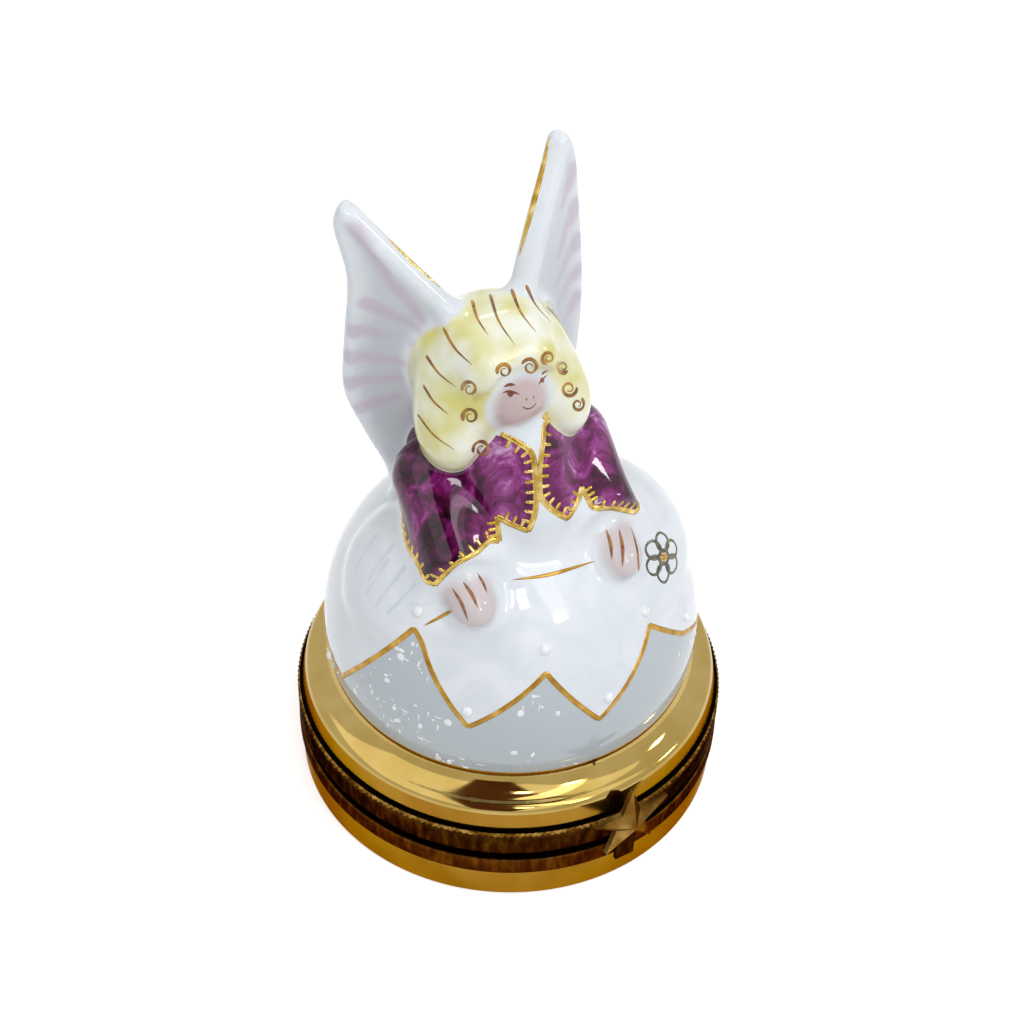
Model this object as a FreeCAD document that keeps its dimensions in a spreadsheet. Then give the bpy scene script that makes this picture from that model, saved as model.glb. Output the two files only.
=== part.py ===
import FreeCAD, Part
import Sketcher
import math
import os
from FreeCAD import Vector

# Keepsake box: a gilded porcelain dish and a skirt-shaped porcelain lid with a winged figure on top,
# each rimmed in brass, hinged at the back (+Y) and clasped at the front (-Y).
# The origin is the centre of the foot, on the table, with +Z up. Millimetres and degrees.

SIZES = {
    # brass rims
    "bezel_radius": 25.0,
    "bezel_wall": 0.8,
    "cement_gap": 0.05,
    "lower_band_height": 2.3,
    "upper_band_height": 3.5,
    "parting_gap": 1.1,
    "ledge_thickness": 0.6,
    "ledge_width": 1.2,
    "lip_height": 2.0,
    "lip_thickness": 0.65,
    "lip_clearance": 0.35,
    "seat_gap": 0.1,
    # porcelain dish
    "base_height": 4.3,
    "base_reveal": 0.4,
    "base_rounding": 0.35,
    "base_wall": 2.4,
    "base_floor": 2.2,
    "bowl_rounding": 2.0,
    "foot_ring_width": 5.0,
    "foot_recess": 0.6,
    # porcelain lid
    "flange_reveal": 0.3,
    "flange_inset": 0.6,
    "flange_height": 2.8,
    "flange_taper": 0.6,
    "cove_radius": 3.2,
    "cove_depth": 3.0,
    "cove_rise": 2.0,
    "belly_rise": 5.2,
    "crown_radius": 2.0,
    "lid_wall": 2.4,
    "mouth_height": 3.6,
    # hinge
    "pin_radius": 0.55,
    "pin_press_gap": 0.02,
    "pin_running_gap": 0.05,
    "pin_head_radius": 0.95,
    "pin_head_length": 0.5,
    "barrel_radius": 1.25,
    "barrel_gap": 0.1,
    "barrel_length": 12.0,
    "centre_knuckle_length": 5.6,
    "knuckle_gap": 0.2,
    "leaf_width": 14.0,
    "leaf_thickness": 0.5,
    "leaf_relief": 0.2,
    # clasp
    "tongue_width": 2.4,
    "tongue_thickness": 0.5,
    "tongue_clearance": 0.4,
    "tongue_drop": 2.2,
    "tongue_rise": 1.2,
    "pad_height": 2.4,
    "stud_radius": 0.6,
    "stud_height": 0.3,
    "star_reach": 5.1,
    "star_waist": 1.95,
    "star_plate": 0.6,
    "star_peak": 1.1,
    "star_flat": 0.12,
    # figure: its turn and lean on the dome, and how high its pivot lies above the dome's top
    "figure_turn": -10.4,
    "figure_lean": -6.0,
    "figure_rise": 1.0,
    # torso, with the throat running down its front
    "bust_width": 17.6,
    "bust_depth": 17.2,
    "bust_height": 19.6,
    "bust_setback": 1.6,
    "bust_rise": 1.6,
    "throat_foot_radius": 5.0,
    "throat_top_radius": 3.2,
    "throat_forward": 5.0,
    "throat_rise": 1.4,
    "throat_length": 11.3,
    "throat_tilt": 13.0,
    # face
    "face_width": 8.4,
    "face_depth": 7.4,
    "face_height": 10.0,
    "face_offset": 0.6,
    "face_forward": 2.4,
    "face_rise": 16.6,
    "window_width": 10.8,
    "window_depth": 10.8,
    "window_height": 15.2,
    "window_forward": 6.6,
    "window_drop": 2.0,
    # hair, placed from the middle of the face
    "hair_width": 16.6,
    "hair_depth": 16.0,
    "hair_height": 15.2,
    "hair_setback": 4.2,
    "hair_drop": 0.7,
    "fringe_width": 10.8,
    "fringe_depth": 9.8,
    "fringe_height": 6.4,
    "fringe_lift": 4.2,
    "lobe_width": 6.6,
    "lobe_depth": 9.0,
    "lobe_height": 9.6,
    "lobe_offset": 6.1,
    "lobe_setback": 1.8,
    "lobe_drop": 5.6,
    # arms, whose shoulders are placed from the sides and the middle of the torso
    "left_shoulder_radius": 3.6,
    "right_shoulder_radius": 4.3,
    "left_shoulder_inset": 1.6,
    "right_shoulder_inset": 0.3,
    "shoulder_forward": 1.0,
    "shoulder_lift": 1.8,
    "left_cuff_radius": 3.4,
    "right_cuff_radius": 3.8,
    "left_sleeve_length": 9.2,
    "right_sleeve_length": 10.8,
    "arm_pitch": 32.0,
    "hand_width": 5.0,
    "hand_length": 7.2,
    "hand_thickness": 4.8,
    "hand_reach": 3.8,
    "hand_sink": 0.5,
    # upper wings: sections across the blade, with offsets outwards along it and heights from the pivot
    "left_sweep": 42.0,
    "right_sweep": 36.5,
    "wing_thickness": 3.2,
    "wing_foot_height": -5.0,
    "wing_foot_inside": 5.0,
    "left_wing_foot_outside": 11.5,
    "right_wing_foot_outside": 13.0,
    "wing_lobe_height": 10.5,
    "wing_lobe_inside": 4.5,
    "left_wing_lobe_outside": 15.8,
    "right_wing_lobe_outside": 18.4,
    "wing_waist_height": 21.5,
    "wing_waist_inside": 4.5,
    "left_wing_waist_outside": 16.4,
    "right_wing_waist_outside": 16.6,
    "wing_neck_height": 29.0,
    "wing_neck_inside": 9.2,
    "left_wing_neck_outside": 16.8,
    "right_wing_neck_outside": 16.1,
    "wing_tip_height": 35.4,
    "wing_tip_inside": 14.0,
    "left_wing_tip_outside": 16.2,
    "right_wing_tip_outside": 15.9,
    "wing_tip_thickness": 1.8,
    # lower wings, as low relief on the sides of the dome
    "lower_wing_angle": 80.0,
    "lower_wing_width": 17.6,
    "lower_wing_height": 16.0,
    "lower_wing_thickness": 9.0,
    "lower_wing_relief": 1.8,
    "lower_wing_drop": 7.2,
    # raised enamel dots along the zigzag hem, with heights from the dome's widest level
    "hem_points": 9,
    "hem_turn": -3.4,
    "hem_low": 4.5,
    "hem_high": 11.7,
    "bead_radius": 0.55,
}

doc = FreeCAD.newDocument("keepsake_box")
sheet = doc.addObject("Spreadsheet::Sheet", "dims")
for row, (alias, size) in enumerate(SIZES.items(), start=1):
    sheet.set("A%d" % row, alias.replace("_", " "))
    sheet.set("B%d" % row, str(size))
    sheet.setAlias("B%d" % row, alias)
doc.recompute()

# Levels and radii that several pieces share, as expressions of the sheet
lower_top = "(dims.base_height + dims.lower_band_height)"
base_rim = "(%s - dims.ledge_thickness)" % lower_top
lip_top = "(%s + dims.lip_height)" % lower_top
upper_bottom = "(%s + dims.parting_gap)" % lower_top
upper_top = "(%s + dims.upper_band_height)" % upper_bottom
ledge_bottom = "(%s + dims.seat_gap)" % lip_top
lid_rim = "(%s + dims.ledge_thickness)" % ledge_bottom
flange_bottom = "(%s + dims.flange_reveal)" % upper_top
band_bore = "(dims.bezel_radius - dims.bezel_wall)"
neck_radius = "(%s - dims.cement_gap)" % band_bore
ledge_bore = "(%s - dims.ledge_width)" % band_bore
lip_outside = "(%s - dims.lip_clearance)" % band_bore
lip_inside = "(%s - dims.lip_thickness)" % lip_outside
base_radius = "(dims.bezel_radius - dims.base_reveal)"
flange_radius = "(dims.bezel_radius - dims.flange_inset)"
crease_radius = "(%s - dims.flange_taper)" % flange_radius
crease_level = "(%s + dims.flange_height)" % flange_bottom
dome_foot_radius = "(%s - dims.cove_depth)" % crease_radius
dome_foot_level = "(%s + dims.cove_rise)" % crease_level
dome_belly = "(%s + dims.belly_rise)" % dome_foot_level
dome_arc = "sqrt((%s - dims.crown_radius) ^ 2 + dims.belly_rise ^ 2)" % dome_foot_radius
dome_top = "(%s + %s)" % (dome_belly, dome_arc)
cavity_arc = "(%s - dims.lid_wall)" % dome_arc
cavity_top = "(%s - dims.lid_wall)" % dome_top
cavity_foot_radius = "(dims.crown_radius + sqrt(%s ^ 2 - dims.belly_rise ^ 2))" % cavity_arc
mouth_radius = "(%s - dims.base_wall)" % neck_radius
hinge_y = "(dims.bezel_radius + dims.barrel_gap + dims.barrel_radius)"
hinge_level = "(%s + dims.parting_gap / 2)" % lower_top
tongue_face = "(dims.bezel_radius + dims.tongue_clearance)"
pivot_level = "(%s + dims.figure_rise)" % dome_top


def value(expression):
    return float(sheet.evalExpression(expression))


def place(obj, x="0", y="0", z="0", turn="rotation(vector(0; 0; 1); 0)", frame=None):
    placed = "placement(vector(%s; %s; %s); %s)" % (x, y, z, turn)
    obj.setExpression("Placement", "%s.Placement * %s" % (frame, placed) if frame else placed)


def primitive(kind, name, sizes, **where):
    obj = doc.addObject("Part::" + kind, name)
    for prop, expression in sizes.items():
        obj.setExpression(prop, expression)
    place(obj, **where)
    return obj


def ellipsoid(name, width, depth, height, **where):
    radii = {"Radius1": height, "Radius2": width, "Radius3": depth}
    return primitive("Ellipsoid", name, {prop: "%s / 2" % size for prop, size in radii.items()}, **where)


def fused(name, *pieces):
    obj = doc.addObject("Part::MultiFuse", name)
    obj.Shapes = list(pieces)
    return obj


def cut(name, base, *tools):
    for step, tool in enumerate(tools, start=1):
        obj = doc.addObject("Part::Cut", name if step == len(tools) else "%s_cut%d" % (name, step))
        obj.Base = base
        obj.Tool = tool
        base = obj
    return base


def fix(sketch, axis, geo, point, expression):
    # Tie a sketch point to the sheet: on the axis where its distance is nothing, else at that distance
    if expression == "0":
        sketch.addConstraint(Sketcher.Constraint("PointOnObject", geo, point, -2 if axis == "X" else -1))
        return
    distance = Sketcher.Constraint("Distance" + axis, -1, 1, geo, point, value(expression))
    sketch.setExpression("Constraints[%d]" % sketch.addConstraint(distance), expression)


def outline(body, name, corners):
    # Closed sketch on the body's XZ plane. A corner is (x, z), or (x, z, arc radius, side) where the
    # stretch to the next corner is an arc that bulges to the left (+1) or right (-1) of its way.
    sketch = body.newObject("Sketcher::SketchObject", name)
    plane = next(item for item in body.Origin.OriginFeatures if item.Role == "XZ_Plane")
    sketch.AttachmentSupport = [(plane, "")]
    sketch.MapMode = "FlatFace"
    points = [Vector(value(corner[0]), value(corner[1]), 0) for corner in corners]
    ends = []
    for here, corner in enumerate(corners):
        start, end = points[here], points[(here + 1) % len(points)]
        if len(corner) == 2:
            geo = sketch.addGeometry(Part.LineSegment(start, end))
        else:
            half = (end - start) / 2
            radius, side = value(corner[2]), corner[3]
            bulge = radius - math.sqrt(radius ** 2 - half.Length ** 2)
            middle = start + half + Vector(-half.y, half.x, 0).normalize() * bulge * side
            geo = sketch.addGeometry(Part.Arc(start, middle, end))
        first = 1 if sketch.getPoint(geo, 1).isEqual(start, 1e-6) else 2
        ends.append((geo, first, 3 - first))
    for here, corner in enumerate(corners):
        geo, first, last = ends[here]
        following, next_first, _ = ends[(here + 1) % len(corners)]
        sketch.addConstraint(Sketcher.Constraint("Coincident", geo, last, following, next_first))
        fix(sketch, "X", geo, first, corner[0])
        fix(sketch, "Y", geo, first, corner[1])
        if len(corner) > 2:
            radius = Sketcher.Constraint("Radius", geo, value(corner[2]))
            sketch.setExpression("Constraints[%d]" % sketch.addConstraint(radius), corner[2])
    return sketch


def turned(name, corners):
    # Solid turned about the box's vertical axis
    body = doc.addObject("PartDesign::Body", name)
    sketch = outline(body, name + "_profile", corners)
    turn = body.newObject("PartDesign::Revolution", name + "_turn")
    turn.Profile = sketch
    turn.ReferenceAxis = (sketch, ["V_Axis"])
    turn.Angle = 360
    return body


# Porcelain dish: foot ring, rounded lower edge, neck for its band, rounded hollow
foot_outside = "(%s - dims.base_rounding)" % base_radius
foot_inside = "(%s - dims.foot_ring_width)" % foot_outside
base_bowl = turned("base_bowl", [
    ("0", "dims.foot_recess"),
    (foot_inside, "dims.foot_recess"),
    ("%s + dims.foot_recess" % foot_inside, "0"),
    (foot_outside, "0", "dims.base_rounding", -1),
    (base_radius, "dims.base_rounding"),
    (base_radius, "dims.base_height"),
    (neck_radius, "dims.base_height"),
    (neck_radius, base_rim),
    (mouth_radius, base_rim),
    (mouth_radius, "dims.base_floor + dims.bowl_rounding", "dims.bowl_rounding", -1),
    ("%s - dims.bowl_rounding" % mouth_radius, "dims.base_floor"),
    ("0", "dims.base_floor"),
])

# Lower band with its ledge over the porcelain rim and the upstanding lip that locates the lid
lower_bezel = turned("lower_bezel", [
    (band_bore, "dims.base_height"),
    ("dims.bezel_radius", "dims.base_height"),
    ("dims.bezel_radius", lower_top),
    (lip_outside, lower_top),
    (lip_outside, lip_top),
    (lip_inside, lip_top),
    (lip_inside, base_rim),
    (band_bore, base_rim),
])

# Upper band, whose ledge carries the porcelain lid and comes down onto the lip
upper_bezel = turned("upper_bezel", [
    (band_bore, upper_bottom),
    ("dims.bezel_radius", upper_bottom),
    ("dims.bezel_radius", upper_top),
    (band_bore, upper_top),
    (band_bore, lid_rim),
    (ledge_bore, lid_rim),
    (ledge_bore, ledge_bottom),
    (band_bore, ledge_bottom),
])

# Porcelain lid: neck in its band, flared flange, cove and dome, hollow inside
flange_outline = [
    (neck_radius, lid_rim),
    (neck_radius, flange_bottom),
    (flange_radius, flange_bottom),
    (crease_radius, crease_level, "dims.cove_radius", 1),
    (dome_foot_radius, dome_foot_level, dome_arc, -1),
    ("dims.crown_radius", dome_top),
    ("0", dome_top),
]
lid_shell = turned("lid_shell", flange_outline + [
    ("0", cavity_top),
    ("dims.crown_radius", cavity_top, cavity_arc, 1),
    (cavity_foot_radius, dome_foot_level),
    (mouth_radius, "%s + dims.mouth_height" % lid_rim),
    (mouth_radius, lid_rim),
])
dome_solid = turned("dome_solid", flange_outline + [("0", lid_rim)])

# Brass disc as wide as the bands, which seats the hinge and the clasp on them
rim_disc = primitive("Cylinder", "rim_disc", {"Radius": "dims.bezel_radius", "Height": dome_top})


def leaf(name, bottom, top):
    # Curved plate that follows the band
    ring_sizes = {"Radius": "dims.bezel_radius + dims.leaf_thickness", "Height": "%s - %s" % (top, bottom)}
    stretch_sizes = {"Length": "dims.leaf_width", "Width": "dims.bezel_radius", "Height": dome_top}
    plate = doc.addObject("Part::Common", name)
    plate.Base = primitive("Cylinder", name + "_ring", ring_sizes, z=bottom)
    plate.Tool = primitive(
        "Box", name + "_stretch", stretch_sizes, x="-dims.leaf_width / 2", y="dims.leaf_thickness")
    return plate


on_hinge = {"y": hinge_y, "z": hinge_level, "turn": "rotation(vector(0; 1; 0); 90)"}


def knuckle(name, start, length, bottom, top):
    # Barrel on the hinge axis with a foot that reaches its leaf
    barrel_sizes = {"Radius": "dims.barrel_radius", "Height": length}
    foot_sizes = {"Length": length, "Width": "dims.barrel_radius", "Height": "%s - %s" % (top, bottom)}
    return [
        primitive("Cylinder", name + "_barrel", barrel_sizes, x=start, **on_hinge),
        primitive(
            "Box", name + "_foot", foot_sizes,
            x=start, y="dims.bezel_radius - dims.barrel_gap", z=bottom),
    ]


def bore(name, clearance):
    sizes = {"Radius": "dims.pin_radius + %s" % clearance, "Height": "2 * dims.barrel_length"}
    return primitive("Cylinder", name, sizes, x="-dims.barrel_length", **on_hinge)


# Lower hinge half, with the two outer knuckles
barrel_half = "dims.barrel_length / 2"
outer_length = "((dims.barrel_length - dims.centre_knuckle_length) / 2 - dims.knuckle_gap)"
lower_leaf_top = "(%s - dims.barrel_radius)" % hinge_level
lower_leaf_bottom = "(dims.base_height + dims.leaf_relief)"
lower_pieces = [leaf("lower_leaf", lower_leaf_bottom, lower_leaf_top)]
for side, start in (("left", "%s - %s" % (barrel_half, outer_length)), ("right", "-" + barrel_half)):
    lower_pieces += knuckle("lower_%s_knuckle" % side, start, outer_length, lower_leaf_bottom, hinge_level)
lower_blank = fused("lower_hinge_blank", *lower_pieces)
lower_bore = bore("lower_bore", "dims.pin_press_gap")
lower_hinge_half = cut("lower_hinge_half", lower_blank, rim_disc, lower_bore)

# Upper hinge half, with the centre knuckle
centre_length = "dims.centre_knuckle_length"
upper_leaf_bottom = "(%s + dims.barrel_radius + dims.leaf_relief)" % hinge_level
upper_leaf_top = "(%s - dims.leaf_relief)" % upper_top
upper_pieces = [leaf("upper_leaf", upper_leaf_bottom, upper_leaf_top)]
upper_pieces += knuckle(
    "upper_knuckle", "-%s / 2" % centre_length, centre_length, hinge_level, upper_leaf_top)
upper_blank = fused("upper_hinge_blank", *upper_pieces)
upper_bore = bore("upper_bore", "dims.pin_running_gap")
upper_hinge_half = cut("upper_hinge_half", upper_blank, rim_disc, upper_bore)

# Pin with a peened head at each end
shank_sizes = {"Radius": "dims.pin_radius", "Height": "dims.barrel_length"}
head_sizes = {"Radius": "dims.pin_head_radius", "Height": "dims.pin_head_length"}
pin_pieces = [primitive("Cylinder", "pin_shank", shank_sizes, x="-" + barrel_half, **on_hinge)]
for side, start in (("left", barrel_half), ("right", "-%s - dims.pin_head_length" % barrel_half)):
    pin_pieces.append(primitive("Cylinder", "pin_head_" + side, head_sizes, x=start, **on_hinge))
hinge_pin = fused("hinge_pin", *pin_pieces)

# Clasp: a springy tongue soldered to the upper band by a pad, gripping a stud on the lower band
tongue_left = "-dims.tongue_width / 2"
tongue_bottom = "(%s - dims.tongue_drop)" % lower_top
tongue_height = "%s + dims.tongue_rise - %s" % (upper_top, tongue_bottom)
tongue_sizes = {"Length": "dims.tongue_width", "Width": "dims.tongue_thickness", "Height": tongue_height}
tongue_plate = primitive(
    "Box", "tongue_plate", tongue_sizes,
    x=tongue_left, y="-%s - dims.tongue_thickness" % tongue_face, z=tongue_bottom)
pad_depth = "2 * dims.tongue_clearance"
pad_sizes = {"Length": "dims.tongue_width", "Width": pad_depth, "Height": "dims.pad_height"}
tongue_pad = primitive(
    "Box", "tongue_pad", pad_sizes,
    x=tongue_left, y="-" + tongue_face, z="%s - dims.pad_height" % upper_top)
clasp_tongue = cut("clasp_tongue", fused("tongue_blank", tongue_plate, tongue_pad), rim_disc)
stud_bead = primitive(
    "Sphere", "stud_bead", {"Radius": "dims.stud_radius"},
    y="-dims.bezel_radius - dims.stud_height + dims.stud_radius",
    z="dims.base_height + dims.lower_band_height / 2")
catch_stud = cut("catch_stud", stud_bead, rim_disc)


def star_wire(scale, depth):
    # Five-pointed star in an upright plane, its first point up
    corners = []
    for step in range(10):
        angle = math.radians(90 + 36 * step)
        reach = scale * value("dims.star_waist" if step % 2 else "dims.star_reach")
        corners.append(Vector(reach * math.cos(angle), -depth, reach * math.sin(angle)))
    return Part.makePolygon(corners + corners[:1])


# Faceted star: a flat plate with a ridged pyramid rising from it
plate = value("dims.star_plate")
star_plate = Part.Face(star_wire(1, 0)).extrude(Vector(0, -plate, 0))
star_facets = Part.makeLoft(
    [star_wire(1, plate), star_wire(value("dims.star_flat"), plate + value("dims.star_peak"))], True, True)
clasp_star = doc.addObject("Part::Feature", "clasp_star")
clasp_star.Shape = star_plate.fuse(star_facets).removeSplitter()
place(clasp_star, y="-%s - dims.tongue_thickness" % tongue_face, z=upper_top)

# The figure's frame leans and turns about its pivot over the dome's top; the dress frame only turns
figure = doc.addObject("Part::Vertex", "figure")
place(figure, z=pivot_level,
      turn="rotation(vector(0; 0; 1); dims.figure_turn) * rotation(vector(0; 1; 0); dims.figure_lean)")
dress = doc.addObject("Part::Vertex", "dress")
place(dress, z=pivot_level, turn="rotation(vector(0; 0; 1); dims.figure_turn)")

# Torso on the dome, with the throat that rises to the head
chest = ellipsoid(
    "chest", "dims.bust_width", "dims.bust_depth", "dims.bust_height",
    y="dims.bust_setback", z="dims.bust_rise", frame="figure")
throat_sizes = {
    "Radius1": "dims.throat_foot_radius", "Radius2": "dims.throat_top_radius",
    "Height": "dims.throat_length"}
throat = primitive(
    "Cone", "throat", throat_sizes, y="-dims.throat_forward", z="dims.throat_rise",
    turn="rotation(vector(1; 0; 0); -dims.throat_tilt)", frame="figure")
torso = fused("torso", chest, throat)
bust = cut("bust", torso, dome_solid)

# Face, which looks out of the hair above the throat
at_face = {"x": "dims.face_offset", "frame": "figure"}
face = ellipsoid(
    "face", "dims.face_width", "dims.face_depth", "dims.face_height",
    y="-dims.face_forward", z="dims.face_rise", **at_face)
head = cut("head", face, torso)

# Hair: a rounded cap with a fringe and a lobe on each side, open at the front where the face looks out
hair_forms = [
    ellipsoid(
        "hair_cap", "dims.hair_width", "dims.hair_depth", "dims.hair_height",
        y="dims.hair_setback - dims.face_forward", z="dims.face_rise - dims.hair_drop", frame="figure"),
    ellipsoid(
        "hair_fringe", "dims.fringe_width", "dims.fringe_depth", "dims.fringe_height",
        y="-dims.face_forward", z="dims.face_rise + dims.fringe_lift", frame="figure"),
]
for side, sign in (("left", ""), ("right", "-")):
    hair_forms.append(ellipsoid(
        "hair_lobe_" + side, "dims.lobe_width", "dims.lobe_depth", "dims.lobe_height",
        x=sign + "dims.lobe_offset", y="dims.lobe_setback - dims.face_forward",
        z="dims.face_rise - dims.lobe_drop", frame="figure"))
hair_mass = fused("hair_mass", *hair_forms)
face_window = ellipsoid(
    "face_window", "dims.window_width", "dims.window_depth", "dims.window_height",
    y="-dims.face_forward - dims.window_forward", z="dims.face_rise - dims.window_drop", **at_face)
hair = cut("hair", hair_mass, torso, face, face_window)

# Arms: a sleeve from a round shoulder to its cuff, and the hand coming out of it onto the dome
arm_turn = "rotation(vector(1; 0; 0); 90 + dims.arm_pitch)"
shoulder_setback = "(dims.bust_setback - dims.shoulder_forward)"
shoulder_rise = "(dims.bust_rise + dims.shoulder_lift)"
sleeves = {}
hands = {}
for side, sign in (("left", ""), ("right", "-")):
    offset = "%s(dims.bust_width / 2 - dims.%s_shoulder_inset)" % (sign, side)
    at_shoulder = {"x": offset, "y": shoulder_setback, "z": shoulder_rise, "frame": "dress"}
    shoulder_radius = "dims.%s_shoulder_radius" % side
    shoulder = primitive("Sphere", side + "_shoulder", {"Radius": shoulder_radius}, **at_shoulder)
    cone_sizes = {
        "Radius1": shoulder_radius, "Radius2": "dims.%s_cuff_radius" % side,
        "Height": "dims.%s_sleeve_length" % side}
    cone = primitive("Cone", side + "_cone", cone_sizes, turn=arm_turn, **at_shoulder)
    arm = fused(side + "_arm", shoulder, cone)
    sleeves[side] = cut(side + "_sleeve", arm, dome_solid, torso, hair_mass)
    hand_reach = "(dims.%s_sleeve_length + dims.hand_reach)" % side
    fist = ellipsoid(
        side + "_fist", "dims.hand_thickness", "dims.hand_width", "dims.hand_length",
        x=offset,
        y="%s - %s * cos(dims.arm_pitch) + dims.hand_sink" % (shoulder_setback, hand_reach),
        z="%s - %s * sin(dims.arm_pitch) - dims.hand_sink" % (shoulder_rise, hand_reach),
        turn=arm_turn + " * rotation(vector(0; 0; 1); 90)", frame="dress")
    hands[side] = cut(side + "_hand", fist, dome_solid, arm)

# Upper wings: blades swept back from the torso, lofted through elliptical sections
wings = {}
blades = {}
for side, heading in (("left", "dims.left_sweep"), ("right", "180 - dims.right_sweep")):
    wing_frame = doc.addObject("Part::Vertex", side + "_wing_frame")
    place(wing_frame, turn="rotation(vector(0; 0; 1); %s)" % heading, frame="figure")
    sections = []
    for level in ("foot", "lobe", "waist", "neck", "tip"):
        inside = "dims.wing_%s_inside" % level
        outside = "dims.%s_wing_%s_outside" % (side, level)
        thickness = "dims.wing_tip_thickness" if level == "tip" else "dims.wing_thickness"
        radii = {"MajorRadius": "(%s - %s) / 2" % (outside, inside), "MinorRadius": thickness + " / 2"}
        sections.append(primitive(
            "Ellipse", "%s_wing_%s" % (side, level), radii, x="(%s + %s) / 2" % (inside, outside),
            z="dims.wing_%s_height" % level, frame=side + "_wing_frame"))
    blade = doc.addObject("Part::Loft", side + "_blade")
    blade.Sections = sections
    blade.Solid = True
    blades[side] = blade
    wings[side] = cut(side + "_wing", blade, dome_solid, torso, hair_mass, sleeves[side])

# Lower wings: low lobes lying on the dome's sides, across its slope
lobe_reach = "(%s + dims.lower_wing_relief - dims.lower_wing_thickness / 2)" % dome_arc
lobe_tilt = "asin((%s - dims.lower_wing_drop) / %s)" % (dome_arc, lobe_reach)
lobe_radius = "(dims.crown_radius + %s * cos(%s))" % (lobe_reach, lobe_tilt)
lower_wings = {}
for side, heading in (("left", "dims.lower_wing_angle - 90"), ("right", "-90 - dims.lower_wing_angle")):
    lobe = ellipsoid(
        side + "_lobe", "dims.lower_wing_thickness", "dims.lower_wing_width", "dims.lower_wing_height",
        x="%s * cos(%s)" % (lobe_radius, heading), y="%s * sin(%s)" % (lobe_radius, heading),
        z="-dims.figure_rise - dims.lower_wing_drop",
        turn="rotation(vector(0; 0; 1); %s) * rotation(vector(0; 1; 0); -%s)" % (heading, lobe_tilt),
        frame="dress")
    lower_wings[side] = cut(
        side + "_lower_wing", lobe, dome_solid, sleeves[side], hands[side], blades[side])

# Raised enamel dots at each low and each high point of the zigzag hem, but for those under a lower wing
doc.recompute()
beads = []
hem_points = int(value("dims.hem_points"))
for step in range(2 * hem_points):
    slope = math.asin(value("dims.hem_high" if step % 2 else "dims.hem_low") / value(dome_arc))
    heading = math.radians(value("dims.hem_turn") - 90 + 180 * step / hem_points)
    away = Vector(math.cos(heading), math.sin(heading), 0)
    outwards = away * math.cos(slope) + Vector(0, 0, math.sin(slope))
    arc_centre = away * value("dims.crown_radius") + Vector(0, 0, value(dome_belly))
    seat = arc_centre + outwards * value(dome_arc)
    bead = Part.makeSphere(value("dims.bead_radius"), seat, outwards, 0, 90)
    if not any(wing.Shape.common(bead).Volume > 0 for wing in lower_wings.values()):
        beads.append(bead)
enamel_beads = doc.addObject("Part::Feature", "enamel_beads")
enamel_beads.Shape = Part.makeCompound(beads)

pieces = [
    base_bowl, lower_bezel, lower_hinge_half, hinge_pin, catch_stud,
    lid_shell, upper_bezel, upper_hinge_half, clasp_tongue, clasp_star,
    bust, head, hair, enamel_beads,
]
for group in (sleeves, hands, wings, lower_wings):
    pieces += group.values()

doc.recompute()
for obj in doc.Objects:
    if "Invalid" in obj.State or "Error" in obj.State:
        raise RuntimeError("%s did not build" % obj.Label)
for piece in pieces:
    if piece.Shape.isNull() or not piece.Shape.isValid() or not piece.Shape.Solids:
        raise RuntimeError("%s has no valid solid" % piece.Label)

os.makedirs("parts", exist_ok=True)
for piece in pieces:
    piece.Shape.exportStep("parts/%s.step" % piece.Label)
    print("%-18s %d solid(s) %10.1f mm3" % (piece.Label, len(piece.Shape.Solids), piece.Shape.Volume))
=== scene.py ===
import itertools
from math import asin, atan2, cos, pi, radians, sin, sqrt

import bmesh
import bpy
import numpy as np
from mathutils import Matrix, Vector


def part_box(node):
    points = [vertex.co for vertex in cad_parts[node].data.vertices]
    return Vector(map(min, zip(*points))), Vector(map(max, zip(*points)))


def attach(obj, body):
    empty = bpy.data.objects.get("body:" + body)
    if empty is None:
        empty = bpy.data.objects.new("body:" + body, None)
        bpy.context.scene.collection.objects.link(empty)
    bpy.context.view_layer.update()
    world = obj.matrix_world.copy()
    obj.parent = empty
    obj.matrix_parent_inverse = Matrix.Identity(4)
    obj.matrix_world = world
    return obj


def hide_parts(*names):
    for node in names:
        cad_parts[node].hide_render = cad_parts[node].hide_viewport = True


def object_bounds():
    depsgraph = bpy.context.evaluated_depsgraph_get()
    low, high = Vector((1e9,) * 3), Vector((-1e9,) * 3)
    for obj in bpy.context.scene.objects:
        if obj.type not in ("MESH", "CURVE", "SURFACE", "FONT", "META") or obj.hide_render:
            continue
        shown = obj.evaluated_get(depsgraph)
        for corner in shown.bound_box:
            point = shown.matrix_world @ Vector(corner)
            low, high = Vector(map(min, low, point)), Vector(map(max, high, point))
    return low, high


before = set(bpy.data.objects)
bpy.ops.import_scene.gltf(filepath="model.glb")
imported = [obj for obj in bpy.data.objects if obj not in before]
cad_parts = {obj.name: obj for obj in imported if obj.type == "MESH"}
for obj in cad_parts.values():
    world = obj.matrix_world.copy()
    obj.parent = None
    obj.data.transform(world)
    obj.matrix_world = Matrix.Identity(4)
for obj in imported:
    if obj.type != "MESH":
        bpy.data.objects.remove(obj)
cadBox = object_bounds()
mm = 0.001


# small tools


def hexColour(code):
    channels = [int(code[i:i + 2], 16) / 255 for i in (0, 2, 4)]
    return [c / 12.92 if c <= 0.04045 else ((c + 0.055) / 1.055) ** 2.4 for c in channels] + [1.0]


def addNode(tree, kind, inputs=None, **settings):
    node = tree.nodes.new("ShaderNode" + kind)
    for name, value in settings.items():
        setattr(node, name, value)
    for name, value in (inputs or {}).items():
        if isinstance(value, bpy.types.NodeSocket):
            tree.links.new(value, node.inputs[name])
        else:
            node.inputs[name].default_value = value
    return node


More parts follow.
